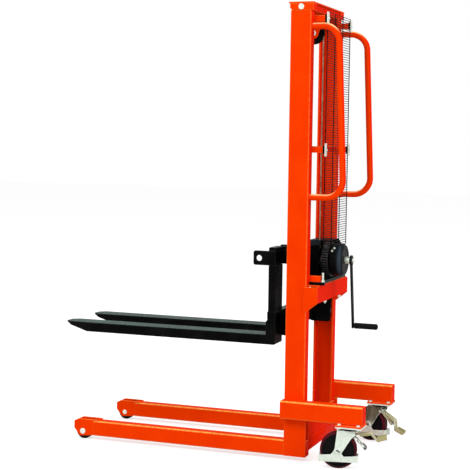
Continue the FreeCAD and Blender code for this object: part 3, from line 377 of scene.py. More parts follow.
def warped(bm):  # true where a wide face is no longer flat
    for face in bm.faces:
        if face.calc_area() > dressing["wideFace"]:
            middle = face.calc_center_median()
            if max(abs((v.co - middle).dot(face.normal)) for v in face.verts) > dressing["slack"]:
                return True
    return False


def markEdge(faces, mark):
    for face in faces:
        for loop in face.loops:
            loop[mark] = 1.0


# a bevel that warps a wide face is tried again, narrower
def softCopy(nodeName, finish, width=0.0, segments=2):
    for share in dressing["widthShares"]:
        bm = mergedMesh(nodeName)
        mark = bm.loops.layers.float.new("edge")
        if nodeName in dressing["rounded"]:
            markEdge([f for f in bm.faces if max(abs(n) for n in f.normal) < dressing["square"]], mark)
        if width * share:
            knots = {v for e in bm.edges if len(e.link_faces) != 2 for v in e.verts}
            rims = [e for e in bm.edges if not knots.intersection(e.verts)
                    and e.calc_face_angle(0.0) > math.radians(dressing["sharp"])]
            made = bmesh.ops.bevel(bm, geom=rims, offset=width * share / 1000, offset_type="OFFSET",
                                   segments=segments, profile=0.5, affect="EDGES", clamp_overlap=False,
                                   material=-1)
            markEdge(made["faces"], mark)
        if not width * share or not warped(bm):
            break
        print("edges of", nodeName, "narrower than", width * share)
        bm.free()
    body = frame["nodes"][nodeName]["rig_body"]
    return finishPiece(bm, nodeName + "_dressed", body, finish, (nodeName,), crease["solid"],
                       bool(width))


def addBox(bm, low, high, soft, segments=2):  # soft: edge radius in millimetres
    known = set(bm.faces)
    made = bmesh.ops.create_cube(bm, size=1.0)["verts"]
    bmesh.ops.scale(bm, vec=high - low, verts=made)
    bmesh.ops.translate(bm, vec=(high + low) / 2, verts=made)
    rims = {e for v in made for e in v.link_edges}
    bmesh.ops.bevel(bm, geom=list(rims), offset=soft / 1000, offset_type="OFFSET", segments=segments,
                    profile=0.5, affect="EDGES", clamp_overlap=True, material=-1)
    return list({v for f in newFaces(bm, known) for v in f.verts})


# profile of (radius, distance along the axis) in millimetres
def addSpun(bm, profile, place, along, steps):
    side = axisZ if abs(along.z) < 0.9 else axisX
    side = (side - along * side.dot(along)).normalized()
    known = set(bm.faces)
    points = [bm.verts.new(place + side * (r / 1000) + along * (h / 1000)) for r, h in profile]
    runs = [bm.edges.new(pair) for pair in zip(points, points[1:])]
    bmesh.ops.spin(bm, geom=points + runs, cent=place, axis=along, dvec=(0, 0, 0), angle=math.tau,
                   steps=steps, use_merge=True, use_normal_flip=False, use_duplicate=False)
    verts = list({v for f in newFaces(bm, known) for v in f.verts})
    bmesh.ops.remove_doubles(bm, verts=verts, dist=seamMerge)
    bmesh.ops.recalc_face_normals(bm, faces=newFaces(bm, known))


def turnTo(along):
    return axisZ.rotation_difference(along).to_matrix().to_4x4()


hexagon = {"crownShare": 0.9, "chamferShare": 0.09}


def addHex(bm, across, high, place, along, turn):  # hexagon head with its chamfered crown
    corner = across / math.sqrt(3) / 1000
    move = Matrix.Translation(place + along * (high / 2000)) @ turnTo(along) @ Matrix.Rotation(turn, 4, "Z")
    made = bmesh.ops.create_cone(bm, cap_ends=True, cap_tris=False, segments=6, radius1=corner,
                                 radius2=corner, depth=high / 1000, matrix=move)["verts"]
    crownLevel = high * hexagon["crownShare"] / 1000
    crown = {e for v in made for e in v.link_edges
             if all((w.co - place).dot(along) > crownLevel for w in e.verts)}
    bmesh.ops.bevel(bm, geom=list(crown), offset=across * hexagon["chamferShare"] / 1000,
                    offset_type="OFFSET", segments=2, profile=0.5, affect="EDGES", clamp_overlap=True,
                    material=-1)


washer = {"chamferShare": 0.3, "steps": 32}


def addWasher(bm, outer, inner, thick, place, along):
    chamfer = thick * washer["chamferShare"]
    profile = [(inner, 0), (outer, 0), (outer, thick - chamfer), (outer - chamfer, thick), (inner, thick),
               (inner, 0)]
    addSpun(bm, profile, place, along, washer["steps"])


bead = {"lapShare": 0.9, "sways": ((0.10, 2.3), (0.06, 5.1)), "steps": 10,
        "scaleShares": ((0.74, 0.05), (1.0, 0.45), (0.95, 0.8))}


def addBead(bm, start, end, size):  # weld bead of overlapping scales
    run = end - start
    length = run.length * 1000
    scales = max(2, int(length / (size * bead["lapShare"])))
    step = length / scales
    profile = [(0.0, 0.0)]
    for k in range(scales):
        wide = size * (1.0 + sum(swing * math.sin(k * pace) for swing, pace in bead["sways"]))
        profile += [(wide * share, (k + place) * step) for share, place in bead["scaleShares"]]
    profile.append((0.0, length))
    addSpun(bm, profile, start, run.normalized(), bead["steps"])


def addRod(bm, start, end, radius, facets=6, endRadius=None):
    run = end - start
    move = Matrix.Translation((start + end) / 2) @ turnTo(run.normalized())
    tip = radius if endRadius is None else endRadius
    bmesh.ops.create_cone(bm, cap_ends=True, cap_tris=False, segments=facets, radius1=radius / 1000,
                          radius2=tip / 1000, depth=run.length, matrix=move)


# dressed copies of the solids: edge radius in millimetres
redEdges = {"columns": 1.6, "mast_head": 1.6, "sheave_cheeks": 1.0, "mid_brace": 1.0, "legs": 1.0,
            "leg_cheeks": 1.2, "base_blocks": 1.8, "cross_plate": 1.6, "arms": 1.0, "caster_plates": 1.2,
            "guard_tabs": 1.0, "winch_bracket": 1.4}
carriageEdges = {"forks": 3.0, "lower_bar": 2.2, "posts": 2.2, "upper_bar": 2.2, "carriage_plates": 1.6,
                 "rope_anchor": 1.0}
winchEdges = {"winch_base": 1.4, "winch_plates": 0.8, "winch_shroud": 0.9, "crank_arm": 1.4, "pawl": 0.6,
              "drum": 0.6, "sheave": 0.8, "guard_clips": 0.8}
zincEdges = {"sheave_pin": 0.8, "guard_strips": 0.6, "crank_shaft": 0.6, "roller_studs": 0.8,
             "roller_pins": 1.2, "head_plugs": 1.2}
ownEdges = {"gear_cover": 1.2, "drum_gear": 0.3, "mast_roller": 0.8, "front_roller": 1.2, "caster_yoke": 0.9,
            "caster_tyre": 1.6, "caster_core": 1.2, "caster_tops": 0.8, "ribbed_ring": 0.4,
            "caster_pedal": 0.8}
for nodeName, width in redEdges.items():
    softCopy(nodeName, red, width, 3)
softCopy("handles", handleRed)
for nodeName, width in carriageEdges.items():
    softCopy(nodeName, forkBlack, width, 3)
for nodeName, width in winchEdges.items():
    softCopy(nodeName, winchBlack, width)
softCopy("gear_cover", coverBlack, ownEdges["gear_cover"])
for nodeName, width in zincEdges.items():
    softCopy(nodeName, brightZinc, width)
softCopy("drum_gear", gearSteel, ownEdges["drum_gear"], 1)
for level in ("lower", "upper"):
    for label in ("right", "left"):
        softCopy("mast_roller_" + level + "_" + label, rollerSteel, ownEdges["mast_roller"])
for label, plating in (("right", casterZinc), ("left", duskZinc)):
    softCopy("front_roller_" + label, rollerNylon, ownEdges["front_roller"], 3)
    softCopy("caster_yoke_" + label, plating, ownEdges["caster_yoke"])
    softCopy("caster_tyre_" + label, tyreMaroon, ownEdges["caster_tyre"], 3)
    softCopy("caster_core_" + label, coreBlack, ownEdges["caster_core"], 3)


def splitFinish(thing, second, chosen):  # a second finish on the faces whose middle is chosen
    thing.data.materials.append(second)
    for face in thing.data.polygons:
        if chosen(face.center):
            face.material_index = 1


ringAxis = at(25.5, 0.0, 875.0)
ribTop = 0.0765
topPlateLow = 0.1785
# faces below the top plate take near-black race steel, painted shade of the gap under the plate
splitFinish(softCopy("caster_tops", raceSteel, ownEdges["caster_tops"]), casterZinc,
            lambda middle: middle.z > topPlateLow)
splitFinish(softCopy("ribbed_ring", winchBlack, ownEdges["ribbed_ring"]), ribGrey,
            lambda middle: math.hypot(middle.x - ringAxis.x, middle.z - ringAxis.z) > ribTop)
print("solids dressed")

# mesh guard of round welded wires
guard = {"half": 183.0, "depth": 150.0, "low": 933.5, "high": 1959.5, "rows": 99, "columns": 3,
         "upright": 2.1, "cross": 1.5, "spot": 2.3, "apart": 0.6, "facets": 8}


def makeGuard():
    bm = bmesh.new()
    half, low, high = guard["half"], guard["low"], guard["high"]
    front, rear = guard["depth"] - guard["apart"], guard["depth"] + guard["apart"]
    levels = [low + (high - low) * k / guard["rows"] for k in range(guard["rows"] + 1)]
    lines = [half * (2 * k / guard["columns"] - 1) for k in range(guard["columns"] + 1)]
    for x in lines:
        addRod(bm, at(x, front, low), at(x, front, high), guard["upright"], guard["facets"])
    for z in levels:
        addRod(bm, at(-half, rear, z), at(half, rear, z), guard["cross"])
        for x in lines:
            bmesh.ops.create_icosphere(bm, subdivisions=1, radius=guard["spot"] / 1000,
                                       matrix=Matrix.Translation(at(x, guard["depth"], z)))
    finishPiece(bm, "guardWires", "frame", guardWire, ("guard_mesh",), crease["wire"])


makeGuard()

# lifting rope: six strands laid round each other
rope = {"radius": 3.5, "strands": 6, "strandDip": 0.16, "lay": 42.0, "step": 4.0, "back": 78.0, "low": 850.3,
        "axle": 1884.0, "wheelY": 34.0, "pitch": 44.0, "bends": 36, "foot": 667.0, "drumX": -34.5,
        "drumZ": 850.0, "drumRadius": 34.5, "drumPitch": 7.6, "turns": 4, "turnSteps": 60}


def addRope(bm, stations):  # stations: matrices along the rope, already turned by its lay
    strands = rope["strands"]
    loop = bmesh.ops.create_circle(bm, cap_ends=False, segments=strands * 4,
                                   radius=rope["radius"] / 1000)["verts"]
    for v in loop:
        bulge = abs(math.cos(math.atan2(v.co.y, v.co.x) * strands / 2))
        v.co = v.co * (1.0 - rope["strandDip"] * (1.0 - bulge))
    rims = list({e for v in loop for e in v.link_edges})
    bmesh.ops.transform(bm, matrix=stations[0], verts=loop)
    for here, there in zip(stations, stations[1:]):
        grown = bmesh.ops.extrude_edge_only(bm, edges=rims)["geom"]
        loop = [g for g in grown if isinstance(g, bmesh.types.BMVert)]
        rims = [g for g in grown if isinstance(g, bmesh.types.BMEdge)]
        bmesh.ops.transform(bm, matrix=there @ here.inverted(), verts=loop)
    bmesh.ops.recalc_face_normals(bm, faces=bm.faces)


def laid(place, turn, run):
    return Matrix.Translation(place) @ turn @ Matrix.Rotation(math.tau * run / rope["lay"], 4, "Z")


def upright(y, low, high):
    count = max(2, round((high - low) / rope["step"]))
    heights = [low + (high - low) * k / count for k in range(count + 1)]
    return [laid(at(0, y, z), Matrix.Identity(4), z - low) for z in heights]


def makeRearRope():  # up from the drum and half round the sheave
    bm = bmesh.new()
    axle, pitch = rope["axle"], rope["pitch"]
    stations = upright(rope["back"], rope["low"], axle)
    for k in range(1, rope["bends"] + 1):
        bend = math.pi * k / rope["bends"]
        place = at(0, rope["wheelY"] + pitch * math.cos(bend), axle + pitch * math.sin(bend))
        stations.append(laid(place, Matrix.Rotation(bend, 4, "X"), axle - rope["low"] + pitch * bend))
    addRope(bm, stations)
    finishPiece(bm, "rearRopeStrands", "frame", ropeSteel, ("rope_rear",), crease["rope"])


def makeFrontRope():  # down from the sheave to the carriage
    bm = bmesh.new()
    y = rope["wheelY"] - rope["pitch"]
    addRope(bm, upright(y, rope["foot"], rope["axle"]))
    front = finishPiece(bm, "frontRopeStrands", None, ropeSteel, ("rope_front",),
                        crease["rope"])
    at(0, y, rope["axle"])
    at(0, y, rope["foot"])
    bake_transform(front)


def makeDrumRope():  # turns wound on the drum
    bm = bmesh.new()
    stations = []
    radius, pitch = rope["drumRadius"], rope["drumPitch"]
    circle = math.tau * radius
    for k in range(rope["turnSteps"] * rope["turns"] + 1):
        wound = k / rope["turnSteps"]
        a = -math.tau * wound
        out = Vector((math.cos(a), 0, math.sin(a)))
        along = Vector((circle * math.sin(a), -pitch, -circle * math.cos(a))).normalized()
        turn = Matrix((out, along.cross(out).normalized(), along)).transposed().to_4x4()
        place = at(rope["drumX"] + radius * out.x, rope["back"] - pitch * wound,
                   rope["drumZ"] + radius * out.z)
        stations.append(laid(place, turn, circle * wound))
    addRope(bm, stations)
    finishPiece(bm, "drumRopeStrands", "drum", ropeSteel, ("drum_rope",), crease["rope"])


makeRearRope()
makeFrontRope()
makeDrumRope()
print("guard and ropes made")

# bolts of the caster plates: washers as outer radius, inner radius and thickness, heads as width and height
casterBolt = {"axis": (270.0, 314.0), "spread": (38.0, 42.0), "plateTop": 192.0, "plateLow": 178.0,
              "shank": 5.0, "tail": 4.0, "seat": 1.0, "washer": (8.4, 5.0, 1.2), "head": (14.0, 5.0),
              "nut": (13.0, 3.4), "turns": (0.3, 0.5), "nutTurn": 0.4, "facets": 20}


def makeCasterBolts():
    bm = bmesh.new()
    top, low = casterBolt["plateTop"], casterBolt["plateLow"]
    seat = top + casterBolt["seat"]
    turnX, turnY = casterBolt["turns"]
    for side in sides:
        for sx in sides:
            for sy in sides:
                x = side * (casterBolt["axis"][0] + sx * casterBolt["spread"][0])
                y = casterBolt["axis"][1] + sy * casterBolt["spread"][1]
                addRod(bm, at(x, y, low - casterBolt["tail"]), at(x, y, seat), casterBolt["shank"],
                       casterBolt["facets"])
                addWasher(bm, *casterBolt["washer"], at(x, y, top), axisZ)
                addHex(bm, *casterBolt["head"], at(x, y, seat), axisZ, turnX * sx + turnY * sy)
                addHex(bm, *casterBolt["nut"], at(x, y, low), -axisZ, casterBolt["nutTurn"] * sy)
    finishPiece(bm, "casterBoltHeads", "frame", brightZinc, ("caster_bolts",),
                crease["fixing"])


makeCasterBolts()

# other bright fixings: bolts of the guard and the bracket, stud of the winch and screws of its cover
guardBolt = {"place": (184.5, 155.5), "levels": (1366.0, 1930.0), "washer": (6.0, 2.0, 1.0), "seat": 0.8,
             "head": (9.4, 3.4), "turn": 0.4}
bracketBolt = {"place": (113.0, 141.0, 700.0), "washer": (8.6, 3.0, 1.4), "seat": 1.2, "head": (13.4, 6.4),
               "turn": 0.3, "tip": (7.0, 12.0), "tipRadii": (4.0, 3.4), "facets": 16}
stud = {"place": (195.0, 154.0), "low": 776.0, "seat": 790.0, "high": 831.0, "radius": 4.4, "tip": 2.0,
        "tipRadius": 3.2, "threads": 22, "threadLow": 9.0, "threadPitch": 1.35, "thread": (4.75, 4.0, 0.9),
        "washer": (8.8, 4.4, 1.4), "nutSeat": 1.2, "nut": (14.0, 6.6), "turn": 0.2, "facets": 20}
coverScrew = {"axis": (25.5, 875.0), "reach": 72.0, "head": (8.4, 4.0), "washer": (5.6, 3.0, 0.9),
              "turn": 0.5, "spots": ((37.0, 161.0), (49.0, 168.0), (131.0, 168.0), (143.0, 161.0))}


def addGuardBolts(bm, side):
    x, y = guardBolt["place"]
    for z in guardBolt["levels"]:
        addWasher(bm, *guardBolt["washer"], at(side * x, y, z), axisY)
        seat = at(side * x, y + guardBolt["seat"], z)
        addHex(bm, *guardBolt["head"], seat, axisY, guardBolt["turn"] * side)


def addBracketBolt(bm, side):
    x, y, z = bracketBolt["place"]
    start, end = (at(side * x, y, z - drop) for drop in bracketBolt["tip"])
    wide, narrow = bracketBolt["tipRadii"]
    addWasher(bm, *bracketBolt["washer"], at(side * x, y, z), -axisZ)
    addHex(bm, *bracketBolt["head"], at(side * x, y, z - bracketBolt["seat"]), -axisZ, bracketBolt["turn"])
    addRod(bm, start, end, wide, bracketBolt["facets"], narrow)


def addStud(bm):
    x, y = stud["place"]
    neck = at(x, y, stud["high"] - stud["tip"])
    addRod(bm, at(x, y, stud["low"]), neck, stud["radius"], stud["facets"])
    addRod(bm, neck, at(x, y, stud["high"]), stud["radius"], stud["facets"], stud["tipRadius"])
    for k in range(stud["threads"]):
        z = stud["seat"] + stud["threadLow"] + k * stud["threadPitch"]
        addWasher(bm, *stud["thread"], at(x, y, z), axisZ)
    addWasher(bm, *stud["washer"], at(x, y, stud["seat"]), axisZ)
    addHex(bm, *stud["nut"], at(x, y, stud["seat"] + stud["nutSeat"]), axisZ, stud["turn"])


def addCoverScrews(bm):
    x, z = coverScrew["axis"]
    for turn, y in coverScrew["spots"]:
        out = Vector((math.cos(math.radians(turn)), 0, math.sin(math.radians(turn))))
        foot = at(x, y, z) + out * (coverScrew["reach"] / 1000)
        addHex(bm, *coverScrew["head"], foot, out, coverScrew["turn"])
        addWasher(bm, *coverScrew["washer"], foot, out)


def makeBrightFixings():
    bm = bmesh.new()
    for side in sides:
        addGuardBolts(bm, side)
        addBracketBolt(bm, side)
    addStud(bm)
    addCoverScrews(bm)
    finishPiece(bm, "brightFixings", "frame", brightZinc, ("bright_bolts",),
                crease["fixing"])


makeBrightFixings()

# crank grip with moulded ridges: lip as depth and distance from the end, ridge as depth and share of its step
grip = {"place": (25.5, 257.0, 583.0), "radius": 13.5, "length": 101.0, "bore": 6.05, "ridges": 15,
        "plain": 9.0, "steps": 40, "lip": ((1.2, 0.0), (0.3, 0.4), (0.0, 1.4)),
        "ridge": ((0.9, 0.15), (0.9, 0.40), (0.1, 0.55), (0.0, 1.0))}


def makeGrip():
    bm = bmesh.new()
    r, length, bore, plain = grip["radius"], grip["length"], grip["bore"], grip["plain"]
    profile = [(bore, 0)] + [(r - depth, away) for depth, away in grip["lip"]] + [(r, plain)]
    step = (length - 2 * plain) / grip["ridges"]
    for k in range(grip["ridges"]):
        profile += [(r - depth, plain + (k + share) * step) for depth, share in grip["ridge"]]
    profile += [(r - depth, length - away) for depth, away in reversed(grip["lip"])]
    profile += [(bore, length), (bore, 0)]
    addSpun(bm, profile, at(*grip["place"]), axisY, grip["steps"])
    finishPiece(bm, "ridgedGrip", "grip", gripPlastic, ("crank_grip",), crease["fixing"])


makeGrip()
print("fasteners and grip made")

# weld beads under the paint: start, end and size in drawing millimetres, repeated on the far side
welds = [((241.0, 3, 272.6), (241.0, 90, 272.6), 3.0), ((199.6, 104.2, 46), (199.6, 104.2, 88), 2.6),
         ((240.6, 82.6, 664), (240.6, 82.6, 768), 2.4), ((18.4, 8, 1963.4), (18.4, 88, 1963.4), 2.0),
         ((178, 93.4, 1379.6), (198, 93.4, 1379.6), 2.0), ((178, 93.4, 1943.6), (198, 93.4, 1943.6), 2.0),
         ((189.4, 93.4, 1356), (189.4, 93.4, 1380), 2.0), ((202, -903.4, 90.4), (207, -903.4, 90.4), 2.0),
         ((249, -902.6, 90.6), (255, -902.6, 90.6), 2.2), ((242, 258, 191.6), (242, 370, 191.6), 2.4)]
handleWeld = {"x": 215.0, "levels": (1896.0, 1160.0), "face": 93.0, "steps": 40,
              "outline": ((13.6, 0), (17.4, 0), (17.0, 1.2), (15.2, 2.8), (13.6, 3.4))}


def makeWelds():
    bm = bmesh.new()
    for side in sides:
        for start, end, size in welds:
            a, b = (at(side * p[0], p[1], p[2]) for p in (start, end))
            addBead(bm, a, b, size)
        for z in handleWeld["levels"]:
            addSpun(bm, handleWeld["outline"], at(side * handleWeld["x"], handleWeld["face"], z), axisY,
                    handleWeld["steps"])
    finishPiece(bm, "weldBeads", "frame", red, (), crease["bead"])


makeWelds()

# folded lower band of the cross plate
band = {"low": (-199.0, 104.0, 41.6), "high": (199.0, 107.0, 89.0), "edge": 1.2}


def makeCrossBand():
    bm = bmesh.new()
    addBox(bm, at(*band["low"]), at(*band["high"]), band["edge"], 3)
    finishPiece(bm, "crossBand", "frame", red, (), crease["trim"])


makeCrossBand()

# drilled ends of the front roller pins, each with a collar: outlines of radius and distance outward
pinEnd = {"place": (259.0, -980.0, 38.0), "steps": 32,
          "drilled": ((2.4, -1.6), (3.0, 0.4), (8.6, 0.4), (9.4, -0.4), (9.4, -1.6)),
          "collar": ((11.0, -2.8), (13.4, -2.8), (13.4, -1.4), (11.0, -1.4))}


def makePinEnds():
    bm = bmesh.new()
    x, y, z = pinEnd["place"]
    for side in sides:
        for outline in (pinEnd["drilled"], pinEnd["collar"]):
            addSpun(bm, outline, at(side * x, y, z), axisX * side, pinEnd["steps"])
    finishPiece(bm, "pinEnds", "frame", brightZinc, (), crease["trim"])


makePinEnds()
print("welds and base trims made")

# caster trims, drawn with the trail along -Y from the swivel axis
caster = {"place": (270.0, 314.0), "turn": 12.0, "axle": (-51.0, 80.0), "pivot": (8.0, 147.0), "face": 30.0}


def inCaster(y, z):  # caster millimetres to metres, in its middle plane
    return Vector((0, y / 1000, z / 1000))


axle = inCaster(*caster["axle"])
pivot = inCaster(*caster["pivot"])


def casterAt(side):
    x, y = caster["place"]
    mirror = Matrix.Diagonal((side, 1, 1, 1))
    swivel = Matrix.Rotation(math.radians(caster["turn"]), 4, "Z")
    place = Matrix.Translation((x / 1000, y / 1000, 0))
    return Matrix.Translation((0, mastFront, 0)) @ mirror @ place @ swivel


def putCaster(bm, side, name, body, finish):
    bmesh.ops.transform(bm, matrix=casterAt(side), verts=bm.verts)
    bmesh.ops.recalc_face_normals(bm, faces=bm.faces)
    finishPiece(bm, name, body, finish, (), crease["trim"])


# washer of the axle and rivet of the pedal on each cheek: outlines of radius and distance outward
cheek = {"washer": ((6.0, 0.0), (15.0, 0.0), (15.0, 1.4), (12.5, 2.0), (6.0, 2.0)), "washerSteps": 32,
         "rivet": ((0.0, 2.6), (2.4, 2.4), (4.6, 1.2), (5.2, 0.0), (0.0, 0.0)), "rivetSteps": 24}


def makeYokeTrims(side, label):
    bm = bmesh.new()
    for face in sides:
        out = axisX * (face * caster["face"] / 1000)
        addSpun(bm, cheek["washer"], axle + out, axisX * face, cheek["washerSteps"])
        addSpun(bm, cheek["rivet"], pivot + out, axisX * face, cheek["rivetSteps"])
    putCaster(bm, side, "yokeTrims_" + label, "caster_yoke_" + label, casterZinc)


cotter = {"out": 37.5, "length": 17.0, "lean": (0.86, -0.5), "radius": 2.6, "facets": 16}


def makeAxleEnds(side, label):
    bm = bmesh.new()
    leanY, leanZ = cotter["lean"]
    half = (axisY * leanY + axisZ * leanZ) * (cotter["length"] / 2000)
    for face in sides:
        end = axle + axisX * (face * cotter["out"] / 1000)
        addRod(bm, end - half, end + half, cotter["radius"], cotter["facets"])
    putCaster(bm, side, "axleEnds_" + label, "caster_yoke_" + label, raceSteel)


# black ring in the gap between caster plate and yoke, standing in for the shade there
shadeRing = {"inner": 34.4, "outer": 41.0, "low": 169.2, "high": 177.6, "steps": 64}


def makeShadeRing(side, label):
    bm = bmesh.new()
    inner, outer, low, high = (shadeRing[key] for key in ("inner", "outer", "low", "high"))
    profile = [(inner, low), (outer, low), (outer, high), (inner, high), (inner, low)]
    addSpun(bm, profile, Vector((0, 0, 0)), axisZ, shadeRing["steps"])
    putCaster(bm, side, "shadeRing_" + label, "frame", coreBlack)


tyreLip = {"outline": ((66.0, 19.5), (66.0, 22.7), (67.0, 23.1), (71.0, 23.1), (71.8, 21.5)), "steps": 72}


def makeTyreLips(side, label):
    bm = bmesh.new()
    for face in sides:
        addSpun(bm, tyreLip["outline"], axle, axisX * face, tyreLip["steps"])
    putCaster(bm, side, "tyreLips_" + label, "caster_wheel_" + label, coreBlack)


lever = {"end": (68.0, 88.0), "half": 18.5, "ridges": 5, "first": 3.0, "step": 5.0, "above": 5.8,
         "radius": 1.4, "facets": 8}


def makeLeverRidges(side, label):
    bm = bmesh.new()
    foot = inCaster(*lever["end"])
    run = (foot - pivot).normalized()
    above = axisX.cross(run) * (lever["above"] / 1000)
    half = axisX * (lever["half"] / 1000)
    for k in range(lever["ridges"]):
        middle = foot - run * ((lever["first"] + k * lever["step"]) / 1000) + above
        addRod(bm, middle - half, middle + half, lever["radius"], lever["facets"])
    putCaster(bm, side, "leverRidges_" + label, "caster_pedal_" + label, raceSteel)


# long toe strip of each pedal, drawn from the pivot before it is dropped: arm and pad with side skirts
toe = {"arm": ((30.0, 4.3), (76.0, 11.0)), "pad": ((108.0, -22.0), (148.0, -10.0)), "armSkirt": (-9.0, 1.0),
       "padSkirt": (-3.0, 17.0), "sheet": 2.0, "skirtHalf": 15.1, "skirtEdge": 0.8,
       "drop": {"right": 0.0, "left": 38.0}, "half": 13.5, "lift": 3.2, "ridges": 7, "ridge": 1.3,
       "facets": 8, "firstShare": 0.7, "stripStart": 16.0, "stripSlope": 0.34, "stripSlack": 2.0}


def toeDrop(label):
    return Matrix.Rotation(math.radians(-toe["drop"][label]), 4, "X")


def addToeSkirts(bm, drop, ends, levels):
    first, last = (inCaster(*p) for p in ends)
    low, high = (n / 1000 for n in levels)
    lean = Matrix.Rotation(math.atan2(last.z - first.z, last.y - first.y), 4, "X")
    place = Matrix.Translation(pivot) @ drop @ Matrix.Translation(first) @ lean
    outer = toe["skirtHalf"] / 1000
    for face in sides:
        left, right = sorted((face * outer, face * (outer - toe["sheet"] / 1000)))
        far = Vector((right, (last - first).length, high))
        made = addBox(bm, Vector((left, 0, low)), far, toe["skirtEdge"])
        bmesh.ops.transform(bm, matrix=place, verts=made)


def makeToeRidges(side, label):
    bm = bmesh.new()
    drop = toeDrop(label)
    start, end = (inCaster(*p) for p in toe["pad"])
    above = axisX.cross((end - start).normalized()) * (toe["lift"] / 1000)
    half = axisX * (toe["half"] / 1000)
    for k in range(toe["ridges"]):
        middle = start + (end - start) * ((k + toe["firstShare"]) / toe["ridges"]) + above
        left, right = (pivot + drop @ (middle + half * sign) for sign in (-1, 1))
        addRod(bm, left, right, toe["ridge"], toe["facets"])
    addToeSkirts(bm, drop, toe["arm"], toe["armSkirt"])
    addToeSkirts(bm, drop, toe["pad"], toe["padSkirt"])
    putCaster(bm, side, "toeRidges_" + label, "caster_pedal_" + label, goldZinc)


def dressPedal(side, label):
    back = casterAt(side).inverted()
    lift = toeDrop(label).inverted()

    def onToe(middle):  # faces of the long strip, clear of the lower lever and the pivot
        spot = lift @ ((back @ middle) - pivot) * 1000
        return spot.y > toe["stripStart"] and spot.z > -toe["stripSlope"] * spot.y - toe["stripSlack"]

    splitFinish(softCopy("caster_pedal_" + label, leverZinc, ownEdges["caster_pedal"]), goldZinc, onToe)


for side, label in both:
    makeYokeTrims(side, label)
    makeAxleEnds(side, label)
    makeShadeRing(side, label)
    makeTyreLips(side, label)
    makeLeverRidges(side, label)
    makeToeRidges(side, label)
    dressPedal(side, label)

# winch trims: screws on the shroud, ring on the cover and collar of the crank
winch = {"screws": ((60.0, 930.0), (44.0, 806.0), (76.0, 806.0)), "wall": 30.0, "axis": (25.5, 875.0),
         "cover": 206.0,
         "screw": ((0.0, 1.9), (2.2, 1.7), (3.8, 0.9), (4.2, 0.0), (0.0, 0.0)), "screwSteps": 24,
         "ring": ((46.0, -0.5), (47.0, 1.2), (62.0, 1.2), (63.0, -0.5)), "ringSteps": 64,
         "collar": ((12.0, 0.5), (15.2, 0.5), (15.8, 1.2), (15.8, 5.6), (15.2, 6.4), (12.0, 6.4)),
         "collarSteps": 48}


def makeWinchTrims():
    bm = bmesh.new()
    for y, z in winch["screws"]:
        addSpun(bm, winch["screw"], at(winch["wall"], y, z), axisX, winch["screwSteps"])
    finishPiece(bm, "shroudScrews", "frame", winchBlack, (), crease["trim"])
    x, z = winch["axis"]
    bm = bmesh.new()
    addSpun(bm, winch["ring"], at(x, winch["cover"], z), axisY, winch["ringSteps"])
    finishPiece(bm, "coverRing", "frame", winchBlack, (), crease["trim"])
    bm = bmesh.new()
    addSpun(bm, winch["collar"], at(x, winch["cover"], z), axisY, winch["collarSteps"])
    finishPiece(bm, "hubCollars", "crank", brightZinc, (), crease["trim"])


makeWinchTrims()
print("caster and winch trims made")

# room, light and camera
room = {"floor": 30.0, "paper": (0.60, 0.60, 0.60), "shade": (0.56, 0.56, 0.56), "glow": 0.62,
        "worldLight": 0.62, "aimHeight": 0.9}
lamps = [("keySoft", (6.5, -2.5, 6.0), 4.5, 325.0), ("rearSoft", (3.0, 7.5, 4.5), 4.0, 300.0),
         ("topSoft", (-1.0, 0.0, 7.0), 5.0, 150.0)]
view = {"place": (5474.19, 1703.34, 1398.71), "azimuth": 110.38, "pitch": 4.25, "roll": 0.82, "lens": 96.86,
        "sensor": 36.0, "reach": 60.0}


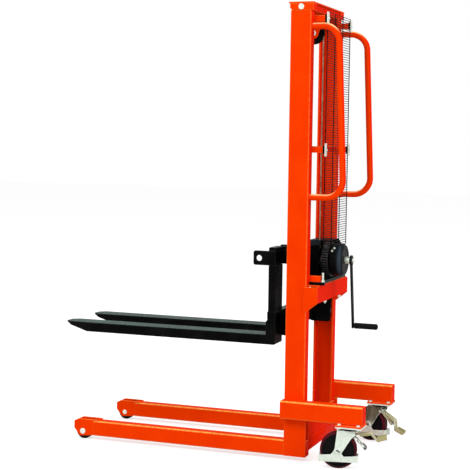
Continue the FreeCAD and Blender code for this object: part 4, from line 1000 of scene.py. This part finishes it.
def layFloor():
    bm = bmesh.new()
    bmesh.ops.create_grid(bm, x_segments=8, y_segments=8, size=room["floor"])
    mesh = bpy.data.meshes.new("studioFloor")
    bm.to_mesh(mesh)
    bm.free()
    floor = bpy.data.objects.new("studioFloor", mesh)
    bpy.context.scene.collection.objects.link(floor)
    s = newFinish("floorPaper")
    tone = s.mix(s.grain(3.0, 3.0), room["paper"], room["shade"])
    skin = s.node("ShaderNodeBsdfDiffuse", {}, {"Color": tone})
    glow = s.node("ShaderNodeEmission", {}, {"Color": (1.0, 1.0, 1.0), "Strength": room["glow"]})
    bright = s.node("ShaderNodeAddShader", {}, {0: skin, 1: glow})
    pick = s.node("ShaderNodeMixShader", {}, {0: s.seen(), 1: skin, 2: bright})
    s.node("ShaderNodeOutputMaterial", {}, {"Surface": pick})
    mesh.materials.append(s.owner)


def hangLamps():
    aim = Vector((0.0, mastFront, room["aimHeight"]))
    for name, place, size, power in lamps:
        data = bpy.data.lights.new(name, "AREA")
        data.shape = "DISK"
        data.size = size
        data.energy = power
        lamp = bpy.data.objects.new(name, data)
        lamp.location = place
        lamp.rotation_euler = (aim - Vector(place)).to_track_quat("-Z", "Y").to_euler()
        bpy.context.scene.collection.objects.link(lamp)


def paintWorld():
    world = bpy.data.worlds.new("studioWhite")
    bpy.context.scene.world = world
    s = Shade(world)
    plain = s.node("ShaderNodeBackground", {}, {"Color": (1.0, 1.0, 1.0), "Strength": room["worldLight"]})
    white = s.node("ShaderNodeBackground", {}, {"Color": (1.0, 1.0, 1.0), "Strength": 1.0})
    pick = s.node("ShaderNodeMixShader", {}, {0: s.seen(), 1: plain, 2: white})
    s.node("ShaderNodeOutputWorld", {}, {"Surface": pick})


def setCamera():
    turn, tip, roll = (math.radians(view[key]) for key in ("azimuth", "pitch", "roll"))
    across = Vector((math.cos(turn), math.sin(turn), 0))
    back = Vector((math.cos(tip) * math.sin(turn), -math.cos(tip) * math.cos(turn), math.sin(tip)))
    up = back.cross(across)
    leanAcross = across * math.cos(roll) + up * math.sin(roll)
    leanUp = up * math.cos(roll) - across * math.sin(roll)
    data = bpy.data.cameras.new("catalogueCamera")
    data.lens = view["lens"]
    data.sensor_width = view["sensor"]
    data.clip_end = view["reach"]
    camera = bpy.data.objects.new("catalogueCamera", data)
    stand = Matrix((leanAcross, leanUp, back)).transposed().to_4x4()
    stand.translation = at(*view["place"])
    camera.matrix_world = stand
    bpy.context.scene.collection.objects.link(camera)
    bpy.context.scene.camera = camera


layFloor()
hangLamps()
paintWorld()
setCamera()
bpy.context.scene.view_settings.view_transform = "Standard"
print("room, light and camera set")
